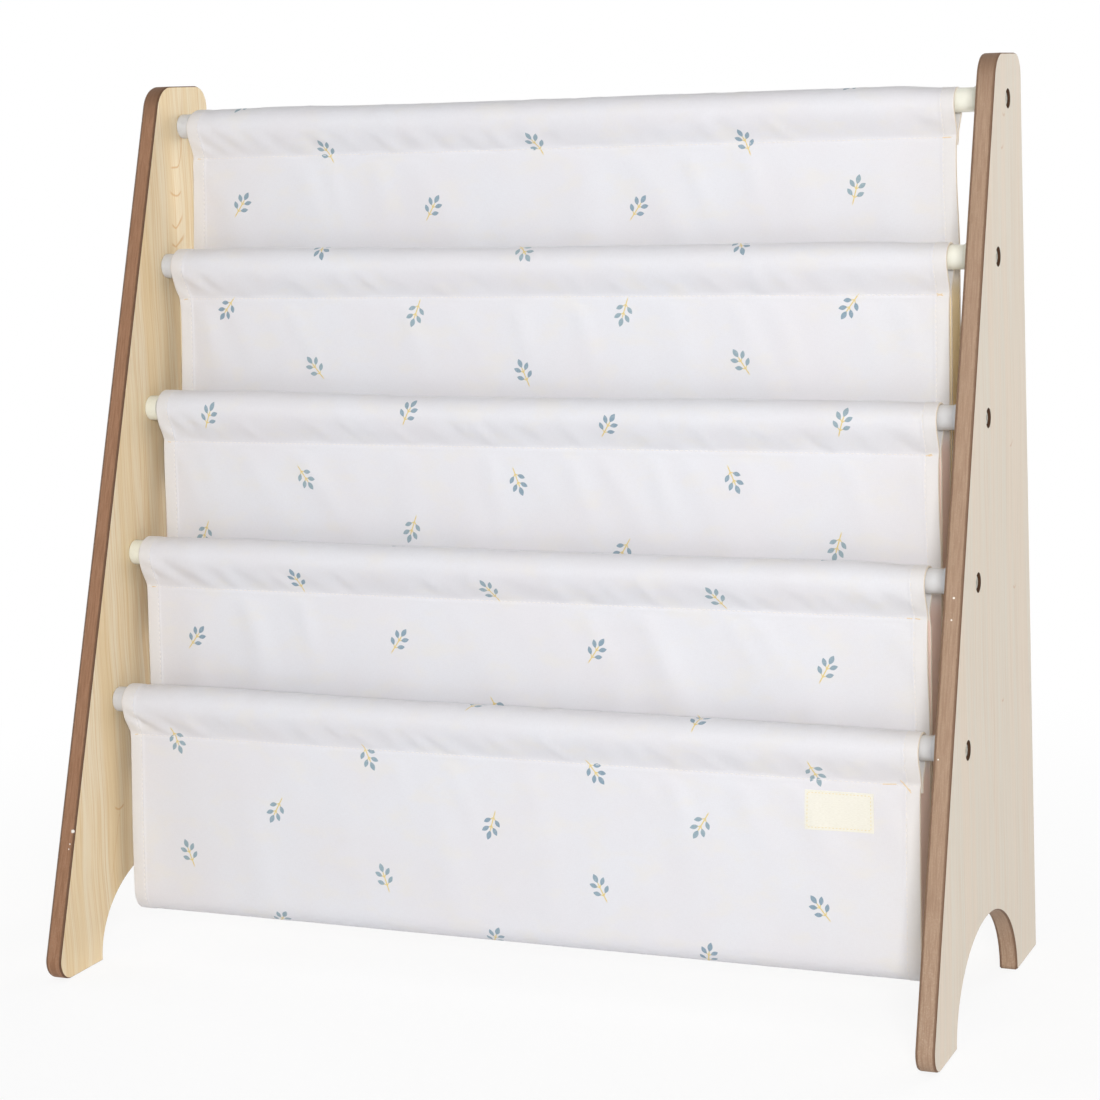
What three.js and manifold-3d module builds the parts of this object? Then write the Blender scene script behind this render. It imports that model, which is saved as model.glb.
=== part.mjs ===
// Sling bookshelf for a child's room: two tapered side panels, five rods and a hanging cloth sling.
// Units are millimetres. X runs across the shelf, Y from the front to the back, and Z up.
// The origin is at the middle of the footprint, on the floor.

import * as THREE from 'three';
import { mergeVertices } from 'three/addons/utils/BufferGeometryUtils.js';
import Module from 'manifold-3d';

const wasm = await Module();
wasm.setup();

// Side panels
const overallWidth = 620;
const panelHeight = 602;
const footReach = 270;
const topSetback = 196;
const topWidth = 65;
const topFrontRadius = 20;
const topRearRadius = 15;
const footFrontRadius = 13;
const frontFootLength = 57;
const rearFootLength = 55;
const archHeight = 60;
const boardThickness = 12;
const laminateThickness = 0.4;
const glueLine = 0.05;

// Rods and their end fittings
const rodCount = 5;
const topRodDrop = 29;
const bottomRodHeight = 177.4;
const rodSetback = 38;
const tubeDiameter = 16;
const tubeWall = 1;
const lipWall = 0.5;
const collarLength = 9;
const collarFloor = 2.5;
const collarChamfer = 0.3;
const stemReach = 12;
const stemChamfer = 1;
const insertWall = 1.2;
const insertLength = 12;

// Bolts
const boltDiameter = 6;
const boltReach = 20;
const boltTipChamfer = 1;
const headDiameter = 10;
const headHeight = 3.2;
const headChamfer = 0.5;
const headRecess = 1.3;
const headHoleGap = 1.4;
const keyWidth = 4;
const keySides = 6;
const keyDepth = 2;

// Clearances: a sliding fit, a seat that rests on its neighbour, and how far a cut runs past a face
const fit = 0.3;
const seatGap = 0.3;
const overrun = 1;

// Sling cloth
const clothThickness = 1.2;
const clothLeftGap = 2;
const bareTube = 12;
const casingSlack = 2.3;
const seamDrop = 25;
const seamHeight = 3;
const seamLead = 3;
const layerGap = 0.5;
const clothLift = 27;
const hangingLean = THREE.MathUtils.degToRad(2.9);

// Sewn label, left bare
const labelWidth = 43;
const labelHeight = 25;
const labelThickness = 0.8;
const labelSideInset = 28;
const labelBelowSeam = 5;

// Facets: sides of a full turn, and steps along an arc
const tubeSides = 24;
const hardwareSides = 16;
const cornerSteps = 6;
const archSteps = 18;
const casingSteps = 7;
const foldSteps = 12;

// Places worked out from the sizes above
const innerFace = overallWidth / 2 - boardThickness;
const skin = laminateThickness + glueLine;
const tubeRadius = tubeDiameter / 2;
const collarRadius = tubeRadius + fit + lipWall;
const collarFace = innerFace - collarLength;
const boltHoleRadius = boltDiameter / 2 + fit;
const insertRadius = boltHoleRadius + insertWall;
const headHoleRadius = headDiameter / 2 + headHoleGap;
const counterboreDepth = headRecess + headHeight + seatGap;
const clothLeft = -collarFace + clothLeftGap;
const clothRight = collarFace - bareTube;
const topRodHeight = panelHeight - topRodDrop;
const rodRise = (topRodHeight - bottomRodHeight) / (rodCount - 1);
const layerPitch = clothThickness + layerGap;
const clothTop = seamDrop + seatGap;

// How a casing's curves bend, as shares of the sizes they follow
const roundShare = 0.56;
const sideDropShare = 0.1;
const taperShare = 0.3;

// The two cloth layers sewn into a seam, from the rod's centre: one hangs in front of the other
const frontLayer = -seamLead - layerPitch / 2;
const rearLayer = -seamLead + layerPitch / 2;

// Directions in the side view: down along the hanging cloth, and square to it towards the back
const down = new THREE.Vector2(-Math.sin(hangingLean), -Math.cos(hangingLean));
const backward = new THREE.Vector2(Math.cos(hangingLean), -Math.sin(hangingLean));

const colors = {
  core: 0xa8876f,
  laminate: 0xdccfb4,
  tube: 0xf0eee6,
  plastic: 0xcfcfd1,
  brass: 0xb9a36a,
  bolt: 0xb8b6b0,
  cloth: 0xe9e8ec,
  label: 0xf1ecd6,
};

// Points on the rounded corner of an outline, from the side of the point before to the side after
function roundCorner(before, corner, after, radius) {
  const back = before.clone().sub(corner).normalize();
  const ahead = after.clone().sub(corner).normalize();
  const halfAngle = back.angleTo(ahead) / 2;
  const inward = back.clone().add(ahead).normalize();
  const center = corner.clone().addScaledVector(inward, radius / Math.sin(halfAngle));
  const tangent = radius / Math.tan(halfAngle);
  const start = corner.clone().addScaledVector(back, tangent).sub(center);
  const end = corner.clone().addScaledVector(ahead, tangent).sub(center);
  const sweep = start.angleTo(end);
  const points = [];
  for (let step = 0; step <= cornerSteps; step += 1) {
    const share = step / cornerSteps;
    const fromStart = Math.sin((1 - share) * sweep) / Math.sin(sweep);
    const fromEnd = Math.sin(share * sweep) / Math.sin(sweep);
    points.push(center.clone().addScaledVector(start, fromStart).addScaledVector(end, fromEnd));
  }
  return points;
}

// Half an ellipse between the two feet, from the rear foot to the front one
function archPoints() {
  const halfWidth = (footReach - frontFootLength - rearFootLength) / 2;
  const middle = frontFootLength + halfWidth;
  const points = [];
  for (let step = 0; step <= archSteps; step += 1) {
    const angle = (Math.PI * step) / archSteps;
    const rise = step === 0 || step === archSteps ? 0 : Math.sin(angle) * archHeight;
    points.push(new THREE.Vector2(middle + Math.cos(angle) * halfWidth, rise));
  }
  return points;
}

// The side panel seen from the side, measured from the front foot's square corner
function panelOutline() {
  const frontFoot = new THREE.Vector2(0, 0);
  const rearFoot = new THREE.Vector2(footReach, 0);
  const topFront = new THREE.Vector2(topSetback, panelHeight);
  const topRear = new THREE.Vector2(topSetback + topWidth, panelHeight);
  return [
    rearFoot,
    ...roundCorner(rearFoot, topRear, topFront, topRearRadius),
    ...roundCorner(topRear, topFront, frontFoot, topFrontRadius),
    ...roundCorner(topFront, frontFoot, rearFoot, footFrontRadius),
    ...archPoints().reverse(),
  ];
}

const rawOutline = panelOutline();
const outlineReach = new THREE.Box2().setFromPoints(rawOutline);
const footprintMiddle = (outlineReach.min.x + outlineReach.max.x) / 2;
const outline = rawOutline.map((point) => new THREE.Vector2(point.x - footprintMiddle, point.y));

// Rod centres from the top rod down, as depth and height, in a line along the panels' front edge
const rods = [];
for (let index = 0; index < rodCount; index += 1) {
  const height = topRodHeight - index * rodRise;
  const frontEdge = (height * topSetback) / panelHeight;
  rods.push(new THREE.Vector2(frontEdge + rodSetback - footprintMiddle, height));
}

function circle(center, radius, sides) {
  const points = [];
  for (let side = 0; side < sides; side += 1) {
    const angle = (2 * Math.PI * side) / sides;
    const spoke = new THREE.Vector2(Math.cos(angle), Math.sin(angle));
    points.push(spoke.multiplyScalar(radius).add(center));
  }
  return points;
}

// A side view with its holes, made solid between two places along X
function extrudeAcross(points, holes, xLow, xHigh) {
  const isClockwise = THREE.ShapeUtils.isClockWise(points);
  const shape = new THREE.Shape(isClockwise ? [...points].reverse() : points);
  shape.holes = holes.map((hole) => new THREE.Path(hole));
  const geometry = new THREE.ExtrudeGeometry(shape, { depth: 1, bevelEnabled: false });
  const position = geometry.attributes.position;
  for (let index = 0; index < position.count; index += 1) {
    const depth = position.getX(index);
    const height = position.getY(index);
    const across = position.getZ(index) === 0 ? xLow : xHigh;
    position.setXYZ(index, across, depth, height);
  }
  return closed(geometry);
}

function closed(geometry) {
  geometry.deleteAttribute('normal');
  geometry.deleteAttribute('uv');
  const merged = mergeVertices(geometry);
  merged.computeVertexNormals();
  return merged;
}

function toSolid(geometry) {
  const vertProperties = new Float32Array(geometry.attributes.position.array);
  const triVerts = new Uint32Array(geometry.index.array);
  return new wasm.Manifold(new wasm.Mesh({ numProp: 3, vertProperties, triVerts }));
}

function toGeometry(solid) {
  const result = solid.getMesh();
  const geometry = new THREE.BufferGeometry();
  geometry.setAttribute('position', new THREE.BufferAttribute(result.vertProperties, 3));
  geometry.setIndex(new THREE.BufferAttribute(result.triVerts, 1));
  geometry.computeVertexNormals();
  return geometry;
}

// A turned shape: pairs of radius and length along +Y
function turned(profile, sides) {
  const points = profile.map(([radius, along]) => new THREE.Vector2(radius, along));
  return closed(new THREE.LatheGeometry(points, sides));
}

function namedMesh(name, geometry, color, roughness, metalness = 0) {
  const material = new THREE.MeshStandardMaterial({ color, roughness, metalness });
  const mesh = new THREE.Mesh(geometry, material);
  mesh.name = name;
  return mesh;
}

// Turns a piece made along +Y to lie along X, pointing to +X or to -X
function layAlongX(mesh, direction, x, rod) {
  mesh.rotation.z = (-direction * Math.PI) / 2;
  mesh.position.set(x, rod.x, rod.y);
  return mesh;
}

// The core board, with a bolt hole and a counterbore in its outer side for each rod
function coreGeometry(side) {
  const near = side * (innerFace + skin);
  const far = side * (overallWidth / 2 - skin);
  const boltHoles = rods.map((rod) => circle(rod, boltHoleRadius, hardwareSides));
  const board = extrudeAcross(outline, boltHoles, Math.min(near, far), Math.max(near, far));
  let solid = toSolid(board);
  const cutLength = counterboreDepth + overrun;
  for (const rod of rods) {
    const drill = new THREE.CylinderGeometry(headHoleRadius, headHoleRadius, cutLength, hardwareSides);
    drill.rotateZ(Math.PI / 2);
    drill.translate(side * (overallWidth / 2 - counterboreDepth + cutLength / 2), rod.x, rod.y);
    solid = solid.subtract(toSolid(closed(drill)));
  }
  return toGeometry(solid);
}

function laminateGeometry(xLow, xHigh, holeRadius) {
  const holes = rods.map((rod) => circle(rod, holeRadius, hardwareSides));
  return extrudeAcross(outline, holes, xLow, xHigh);
}

function sidePanel(sideName, side) {
  const group = new THREE.Group();
  const inner = [side * innerFace, side * (innerFace + laminateThickness)];
  const outer = [side * (overallWidth / 2 - laminateThickness), (side * overallWidth) / 2];
  const innerSkin = laminateGeometry(Math.min(...inner), Math.max(...inner), boltHoleRadius);
  const outerSkin = laminateGeometry(Math.min(...outer), Math.max(...outer), headHoleRadius);
  group.add(namedMesh(`${sideName}_panel_core`, coreGeometry(side), colors.core, 0.7));
  group.add(namedMesh(`${sideName}_panel_inner_laminate`, innerSkin, colors.laminate, 0.45));
  group.add(namedMesh(`${sideName}_panel_outer_laminate`, outerSkin, colors.laminate, 0.45));
  return group;
}

function tubeGeometry() {
  const halfLength = innerFace - collarFloor - seatGap;
  const bore = tubeRadius - tubeWall;
  return turned(
    [
      [bore, -halfLength],
      [tubeRadius, -halfLength],
      [tubeRadius, halfLength],
      [bore, halfLength],
      [bore, -halfLength],
    ],
    tubeSides,
  );
}

// The end plug, from the panel's face inward: a collar over the tube's end and a stem in its bore
function plugGeometry() {
  const slotRadius = tubeRadius + fit;
  const stemRadius = tubeRadius - tubeWall - fit;
  const pocketRadius = insertRadius + fit;
  const pocketDepth = insertLength + 2 * seatGap;
  const length = collarLength + stemReach;
  return turned(
    [
      [pocketRadius, 0],
      [collarRadius, 0],
      [collarRadius, collarLength - collarChamfer],
      [collarRadius - collarChamfer, collarLength],
      [slotRadius, collarLength],
      [slotRadius, collarFloor],
      [stemRadius, collarFloor],
      [stemRadius, length - stemChamfer],
      [stemRadius - stemChamfer, length],
      [boltHoleRadius, length],
      [boltHoleRadius, pocketDepth],
      [pocketRadius, pocketDepth],
      [pocketRadius, 0],
    ],
    hardwareSides,
  );
}

// The threaded insert in the plug, as a plain sleeve round the bolt
function insertGeometry() {
  return turned(
    [
      [boltHoleRadius, 0],
      [insertRadius, 0],
      [insertRadius, insertLength],
      [boltHoleRadius, insertLength],
      [boltHoleRadius, 0],
    ],
    hardwareSides,
  );
}

// The bolt, from its tip to its head, with a hexagonal key socket
function boltGeometry() {
  const radius = boltDiameter / 2;
  const headRadius = headDiameter / 2;
  const shankLength = boltReach + boardThickness - headRecess - headHeight;
  const length = shankLength + headHeight;
  const blank = turned(
    [
      [0, 0],
      [radius - boltTipChamfer, 0],
      [radius, boltTipChamfer],
      [radius, shankLength],
      [headRadius, shankLength],
      [headRadius, length - headChamfer],
      [headRadius - headChamfer, length],
      [0, length],
    ],
    hardwareSides,
  );
  const keyRadius = keyWidth / Math.sqrt(3);
  const key = new THREE.CylinderGeometry(keyRadius, keyRadius, keyDepth + overrun, keySides);
  key.translate(0, length - keyDepth + (keyDepth + overrun) / 2, 0);
  return toGeometry(toSolid(blank).subtract(toSolid(closed(key))));
}

function rodWithFittings(number, rod) {
  const group = new THREE.Group();
  const tube = namedMesh(`rod_${number}_tube`, tubeGeometry(), colors.tube, 0.35, 0.1);
  group.add(layAlongX(tube, 1, 0, rod));
  for (const [sideName, side] of [['left', -1], ['right', 1]]) {
    const label = `rod_${number}_${sideName}`;
    const plug = namedMesh(`${label}_end_plug`, plugGeometry(), colors.plastic, 0.4);
    const insert = namedMesh(`${label}_threaded_insert`, insertGeometry(), colors.brass, 0.35, 0.9);
    const bolt = namedMesh(`${label}_bolt`, boltGeometry(), colors.bolt, 0.3, 0.9);
    group.add(layAlongX(plug, -side, side * innerFace, rod));
    group.add(layAlongX(insert, -side, side * (innerFace - seatGap), rod));
    group.add(layAlongX(bolt, side, side * (innerFace - boltReach), rod));
  }
  return group;
}

// One side of a casing in side view, from its top round the rod and down to its toe at the seam
function casingSide(grow, toeWidth, toeHeight) {
  const top = tubeRadius + seatGap;
  const halfWidth = tubeRadius + casingSlack + grow;
  const widest = -tubeRadius * sideDropShare;
  const round = new THREE.CubicBezierCurve(
    new THREE.Vector2(0, top + grow),
    new THREE.Vector2(halfWidth * roundShare, top + grow),
    new THREE.Vector2(halfWidth, top * roundShare),
    new THREE.Vector2(halfWidth, widest),
  );
  const taper = new THREE.CubicBezierCurve(
    new THREE.Vector2(halfWidth, widest),
    new THREE.Vector2(halfWidth, -tubeRadius),
    new THREE.Vector2(toeWidth + (halfWidth - toeWidth) * taperShare, (toeHeight - tubeRadius) / 2),
    new THREE.Vector2(toeWidth, toeHeight),
  );
  return [...round.getPoints(casingSteps), ...taper.getPoints(casingSteps).slice(1)];
}

// Both sides of a casing as one ring, with its toe drawn forward of the rod
function casingRing(side, rod) {
  const top = tubeRadius + seatGap;
  const mirrored = side.map((point) => new THREE.Vector2(-point.x, point.y)).reverse();
  const ring = [...side, ...mirrored].filter((point, index) => point.x !== 0 || index < side.length);
  return ring.map((point) => {
    const lead = (seamLead * Math.max(0, top - point.y)) / (top + seamDrop);
    return new THREE.Vector2(rod.x + point.x - lead, rod.y + point.y);
  });
}

// The loose casing round a rod: a drop shape that rests on the tube and is sewn shut below it
function casingGeometry(rod) {
  const halfSeam = (layerPitch + clothThickness) / 2;
  const seamTop = -seamDrop + seamHeight;
  const outer = casingSide(clothThickness, halfSeam, seamTop);
  outer.push(new THREE.Vector2(halfSeam, -seamDrop));
  const inner = casingSide(0, 0, seamTop + clothThickness);
  return extrudeAcross(casingRing(outer, rod), [casingRing(inner, rod)], clothLeft, clothRight);
}

// The two places where a pocket's cloth starts, below the rod behind it and the rod in front of it
function pocketStarts(index) {
  const isLowest = index === rodCount - 2;
  const behind = rods[index];
  const before = rods[index + 1];
  const frontDepth = isLowest ? frontLayer : rearLayer;
  return {
    back: new THREE.Vector2(behind.x + frontLayer, behind.y - clothTop),
    front: new THREE.Vector2(before.x + frontDepth, before.y - clothTop),
    bottom: before.y - bottomRodHeight + clothLift,
  };
}

// A pocket of the sling: the cloth hangs from the rear rod, folds at the bottom and rises to the front rod
function pocketGeometry(index) {
  const { back, front, bottom } = pocketStarts(index);
  const half = clothThickness / 2;
  const radius = back.clone().sub(front).dot(backward) / 2;
  const centerHeight = bottom + radius + half;
  const run = (centerHeight - front.y - backward.y * radius) / down.y;
  const center = front.clone().addScaledVector(down, run).addScaledVector(backward, radius);
  const fold = (reach) => {
    const points = [];
    for (let step = 0; step <= foldSteps; step += 1) {
      const angle = (Math.PI * step) / foldSteps;
      const point = center.clone().addScaledVector(backward, Math.cos(angle) * reach);
      points.push(point.addScaledVector(down, Math.sin(angle) * reach));
    }
    return points;
  };
  const outside = [
    back.clone().addScaledVector(backward, half),
    ...fold(radius + half),
    front.clone().addScaledVector(backward, -half),
  ];
  const inside = [
    back.clone().addScaledVector(backward, -half),
    ...fold(radius - half),
    front.clone().addScaledVector(backward, half),
  ];
  return extrudeAcross([...outside, ...inside.reverse()], [], clothLeft, clothRight);
}

// The sewn label on the lowest pocket's front, near its right side
function labelMesh() {
  const { front } = pocketStarts(rodCount - 2);
  const lowestRod = rods[rodCount - 1];
  const middleHeight = lowestRod.y - seamDrop - labelBelowSeam - labelHeight / 2;
  const run = (middleHeight - front.y) / down.y;
  const standOff = clothThickness / 2 + seatGap + labelThickness / 2;
  const middle = front.clone().addScaledVector(down, run).addScaledVector(backward, -standOff);
  const box = closed(new THREE.BoxGeometry(labelWidth, labelThickness, labelHeight));
  const mesh = namedMesh('sewn_label', box, colors.label, 0.9);
  mesh.position.set(clothRight - labelSideInset - labelWidth / 2, middle.x, middle.y);
  mesh.rotation.x = -hangingLean;
  return mesh;
}

function sling() {
  const group = new THREE.Group();
  rods.forEach((rod, index) => {
    group.add(namedMesh(`sling_casing_${index + 1}`, casingGeometry(rod), colors.cloth, 0.9));
  });
  for (let index = 0; index < rodCount - 1; index += 1) {
    group.add(namedMesh(`sling_pocket_${index + 1}`, pocketGeometry(index), colors.cloth, 0.9));
  }
  group.add(labelMesh());
  return group;
}

const bookshelf = new THREE.Group();
bookshelf.add(sidePanel('left', -1));
bookshelf.add(sidePanel('right', 1));
rods.forEach((rod, index) => bookshelf.add(rodWithFittings(index + 1, rod)));
bookshelf.add(sling());

export default bookshelf;
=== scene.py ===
"""Looks of the sling bookshelf: two laminated side panels, five rods with end caps and bolts, and the printed
cloth sling with its seams, hems and label. Lengths are in millimetres until a mesh is made, and angles are in
degrees."""
import math

import bpy
import numpy as np
from mathutils import Matrix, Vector
from mathutils.geometry import tessellate_polygon


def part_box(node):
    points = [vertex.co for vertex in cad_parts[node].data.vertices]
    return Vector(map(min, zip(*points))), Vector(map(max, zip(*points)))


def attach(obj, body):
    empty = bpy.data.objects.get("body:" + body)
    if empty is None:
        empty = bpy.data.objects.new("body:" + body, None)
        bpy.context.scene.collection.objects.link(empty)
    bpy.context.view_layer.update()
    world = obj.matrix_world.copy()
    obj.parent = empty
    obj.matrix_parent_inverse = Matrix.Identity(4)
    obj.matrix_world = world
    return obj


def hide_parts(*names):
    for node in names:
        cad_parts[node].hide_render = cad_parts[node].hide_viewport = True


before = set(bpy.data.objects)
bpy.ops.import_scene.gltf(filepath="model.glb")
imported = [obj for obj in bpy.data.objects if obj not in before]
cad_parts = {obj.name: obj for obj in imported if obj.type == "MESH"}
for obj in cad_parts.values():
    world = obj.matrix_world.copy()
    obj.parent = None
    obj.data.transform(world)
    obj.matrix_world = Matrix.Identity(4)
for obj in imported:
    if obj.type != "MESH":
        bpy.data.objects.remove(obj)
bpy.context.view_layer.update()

MM = 0.001

# Camera, found from the photograph's panel edges, feet, rods and bolts
IMAGE_SIZE = 1100
SENSOR_WIDTH = 36.0
CAMERA_PLACE = (719.80, -1629.44, 583.52)
CAMERA_YAW = 23.021
CAMERA_PITCH = -7.410
CAMERA_ROLL = -2.102
FOCAL_PIXELS = 2703.6
CENTRE_PIXEL = (560.0, 450.0)
CLIP_RANGE = (0.01, 100.0)

# Side panels
PANEL_HEIGHT = 602.0
FOOT_REACH = 270.0
TOP_SETBACK = 196.0
TOP_WIDTH = 65.0
TOP_FRONT_RADIUS = 20.0
TOP_REAR_RADIUS = 15.0
FOOT_FRONT_RADIUS = 13.0
FRONT_FOOT_LENGTH = 57.0
REAR_FOOT_LENGTH = 55.0
ARCH_HEIGHT = 60.0
BOARD_ARRIS = 0.9
LAMINATE_ARRIS = 0.2
LAMINATE_INSET = 0.5
HEAD_HOLE_RADIUS = 6.4
HEAD_HOLE_DEPTH = 4.8
SHANK_HOLE_RADIUS = 3.3
CORNER_STEPS = 20
ARCH_STEPS = 72
ARRIS_STEPS = 4
SMALLEST_TURN = 1e-9

# Maple laminate: its tones, as base, warm, streak and figure
YELLOWISH = ((233, 217, 187), (230, 207, 167), (220, 190, 143), (212, 168, 114))
GREYISH = ((220, 211, 195), (224, 209, 190), (217, 201, 181), (204, 172, 142))

# Grain marks of a panel's face: middle depth and height, left and right rise, power, left and right reach
MARK_WIDTH = 1.1
MARK_SPREAD = 0.22
MARK_SOLID_SHARE = 0.6
LEFT_MARKS = (
    (76.0, 544.0, 0.0, 0.087, 2.5, 9.0, 15.0),
    (74.5, 523.6, 0.037, 0.09, 2.0, 11.0, 7.0),
    (70.6, 500.3, 0.34, 0.41, 1.3, 6.0, 12.0),
    (69.2, 487.0, 0.37, 0.456, 1.1, 6.0, 14.5),
    (-48.9, 99.8, 0.2, 0.12, 1.5, 6.5, 7.5),
    (-49.8, 95.7, -3.14, 0.0, 1.0, 18.0, 0.6),
)
RIGHT_MARKS = (
    (75.8, 562.4, 0.2, 0.3, 1.6, 4.5, 3.0),
    (69.4, 542.0, 0.1, 0.35, 1.5, 3.0, 4.0),
    (81.5, 350.0, 0.1, 0.4, 1.4, 3.0, 5.0),
    (85.0, 256.0, 0.3, 0.2, 1.4, 4.0, 4.0),
    (49.2, 188.4, 0.25, 0.25, 1.5, 3.5, 3.5),
)

# Fibreboard: its tones, as base, dark, pale and the painted shade at its arrises and top, and its chips, each
# a place and a radius
BOARD_MIDDLE = 304.0
BOARD_HALF = 5.55
# The left board's darker, redder tones are painted shade on one of two like boards.
LEFT_BOARD = ((160, 119, 91), (141, 103, 76), (166, 132, 106), (96, 70, 52))
RIGHT_BOARD = ((170, 142, 118), (156, 127, 104), (186, 163, 142), (120, 92, 72))
CHIP_TONE = (238, 232, 222)
LEFT_CHIPS = (((-299.9, -105.3, 98.7), 1.5), ((-301.2, -108.3, 90.4), 0.7), ((-301.6, -109.2, 87.0), 0.6))
RIGHT_CHIPS = (((304.5, -48.4, 273.6), 0.9), ((303.8, -52.6, 260.7), 0.7), ((301.0, -79.0, 180.2), 0.6))

# Each panel's laminates: tones, the figure's middle, then its steepness, pitch and reach, marks and a seed
LAMINATES = (
    ("left", "inner", YELLOWISH, 2.0, (4.2, 46.0, 24.0), LEFT_MARKS, 11.0),
    ("left", "outer", GREYISH, 40.0, (3.4, 60.0, 26.0), RIGHT_MARKS, 37.0),
    ("right", "inner", YELLOWISH, 50.0, (3.8, 52.0, 24.0), LEFT_MARKS, 71.0),
    ("right", "outer", GREYISH, 20.0, (5.0, 64.0, 14.0), RIGHT_MARKS, 5.0),
)
LEFT_BOARD_SEED = 2.0
RIGHT_BOARD_SEED = 8.0

# Rods and their fittings
ROD_COUNT = 5
TUBE_RADIUS = 8.0
TUBE_WALL = 1.0
RIM_RADIUS = 0.3
CAP_RADIUS = 8.8
CAP_FLOOR = 2.5
CAP_SLOT_RADIUS = 8.3
CAP_EDGE_RADIUS = 0.3
CAP_BASE_RADIUS = 1.4
CAP_LIP_SHARE = 0.1
COLLAR_MARGIN = 0.1
STEM_RADIUS = 6.7
STEM_TAPER = 1.0
INSERT_POCKET_RADIUS = 4.8
HEAD_RADIUS = 5.0
HEAD_HEIGHT = 3.2
HEAD_EDGE_RADIUS = 0.9
HEAD_DOME = 0.25
HEAD_DOME_EDGE_SHARE = 0.3
KEY_WIDTH = 4.0
KEY_DEPTH = 2.0
KEY_CHAMFER = 0.35
BOLT_RADIUS = 3.0
BOLT_TIP = 1.0
TURNED_SIDES = 72
BEND_STEPS = 5
TURNED_SHARP_ANGLE = 38.0

# Sling cloth
CLOTH_THICKNESS = 0.8
HEM_EXTRA = 0.7
HEM_STITCH_INSET = 8.4
HEM_STITCH_DENT = 0.45
HEM_DENT_SPREAD = 0.55
CASING_TOP = 8.9
CASING_HALF_WIDTH = 10.9
SEAM_DROP = 25.0
SEAM_HEIGHT = 3.0
SEAM_LEAD = 3.0
LAYER_PITCH = 1.7
TAIL_LENGTH = 3.0
PANEL_START = 25.3
HANGING_LEAN = 2.9
LOWEST_CLOTH = 27.6
ROUND_SHARE = 0.56
SIDE_DROP_SHARE = 0.1
TAPER_SHARE = 0.3
CURVE_STEPS = 40
FINE_STEP = 0.4
SMALLEST_STEP = 1e-6
SEAM_ROW = 0.75
SEAM_ROW_SPAN = (-5.0, 4.5)
CASING_ROW = 2.4
CASING_ROW_END = 6.0
PANEL_ROW = 4.5
COLUMN_PITCH = 3.6
NOISE_MARGIN = 50
HEM_COLUMNS = (0.0, 0.6, 1.6, 3.2, 5.2, 7.0, 7.9, 8.4, 8.9, 9.5, 10.1, 10.8, 12.2, 14.6)
SEAM_STITCH_UP = 1.4
STITCH_GROOVE = 0.3
GROOVE_SPREAD = 0.9
EDGE_REACH = 60.0
EDGE_BLUR = 5.0
EDGE_BLUR_REACH = 12
RIM_SHARE = 0.8
LEAST_FOLD_DROP = 60.0

# Spans over which the cloth's forms fade in or out, in millimetres from a seam, a side edge or a fold
HEM_SPAN = (9.2, 10.4)
CASING_SPAN = (1.0, 5.0)
PANEL_SPAN = (0.6, 9.0)
BELLY_SPAN = (10.0, 70.0)
HIDDEN_SPAN = (3.0, 40.0)
# The span over which the painted warm bounce light comes in on the pockets' inner faces
WARM_BOUNCE_SPAN = (82.0, 100.0)
SIDE_SPAN = (-8.0, 12.0)
FOLD_SPAN = (4.0, 34.0)
EDGE_TOP_SPAN = (28.0, 42.0)
EDGE_SEAM_SPAN = (-7.0, 3.0)
EDGE_LOW_SPAN = (15.0, 75.0)

# Unevenness of the cloth: its height, then its cells across and along
CASING_NOISE = (0.16, 16.0, 11.0)
PANEL_NOISE = (0.1, 13.0, 26.0)
BELLY_NOISE = (1.0, 130.0, 90.0)
HIDDEN_NOISE = (0.5, 120.0, 80.0)
BELLY_HEIGHT = 0.9
BELLY_MEAN = 0.6
HIDDEN_LIFT = 0.3
LOWEST_PANEL = -0.2
SIDE_SHARE = 0.35
FOLD_SHARE = 0.25

# How far each side edge stands right of its straight line at each rod: at the casing's top, on its front,
# below its seam and low down
LEFT_EDGE = (
    (4.5, 0.0, -0.8, -2.2),
    (1.2, 0.0, 1.8, 0.8),
    (2.2, 1.3, 0.9, 2.0),
    (1.0, 0.0, 0.6, 0.8),
    (0.4, -0.4, 0.5, 0.0),
)
RIGHT_EDGE = (
    (0.5, 0.5, -0.4, 1.8),
    (2.4, 2.4, 1.6, 1.8),
    (2.3, 2.3, 1.4, 3.0),
    (1.4, 1.4, 0.9, 2.4),
    (4.3, 4.3, 3.0, 3.4),
)
RIGHT_HIDDEN = 2.8

# Slanting ridges of the casings and of the cloth below them: pitch, slopes, middle and spread along the
# cloth, half widths, heights and how much they broaden with the distance from the seam
CASING_RIDGES = (
    (15.0, (0.55, 1.05), -12.0, 7.5, (2.4, 4.0), (-0.85, 0.6), 0.0),
    (17.0, (-1.1, -0.6), -38.0, 6.5, (2.2, 3.6), (-0.5, 0.4), 0.0),
    (22.0, (0.5, 1.0), -70.0, 9.0, (3.0, 5.0), (-0.5, 0.4), 0.0),
    (140.0, (-0.3, 0.6), -26.0, 16.0, (2.6, 4.2), (0.4, 0.9), 0.0),
    (21.0, (0.4, 0.9), -12.0, 8.0, (4.0, 6.0), (0.5, 1.4), 0.0),
)
PANEL_RIDGES = (
    (34.0, (0.2, 0.75), 16.0, 34.0, (4.0, 8.0), (-0.55, 1.3), 0.06),
    (60.0, (0.05, 0.45), 70.0, 52.0, (8.0, 16.0), (-0.7, 1.7), 0.02),
)
RIDGES_PAST_EDGE = 40

# Slanting folds at a casing's left end: place across the cloth and height
LEFT_END_FOLDS = ((26.0, -0.8), (35.0, 0.7), (46.0, -0.7), (60.0, 0.5))
FOLD_HALF_WIDTH = 3.4
FOLD_MIDDLE = -15.0
FOLD_SPREAD = 12.0

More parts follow.
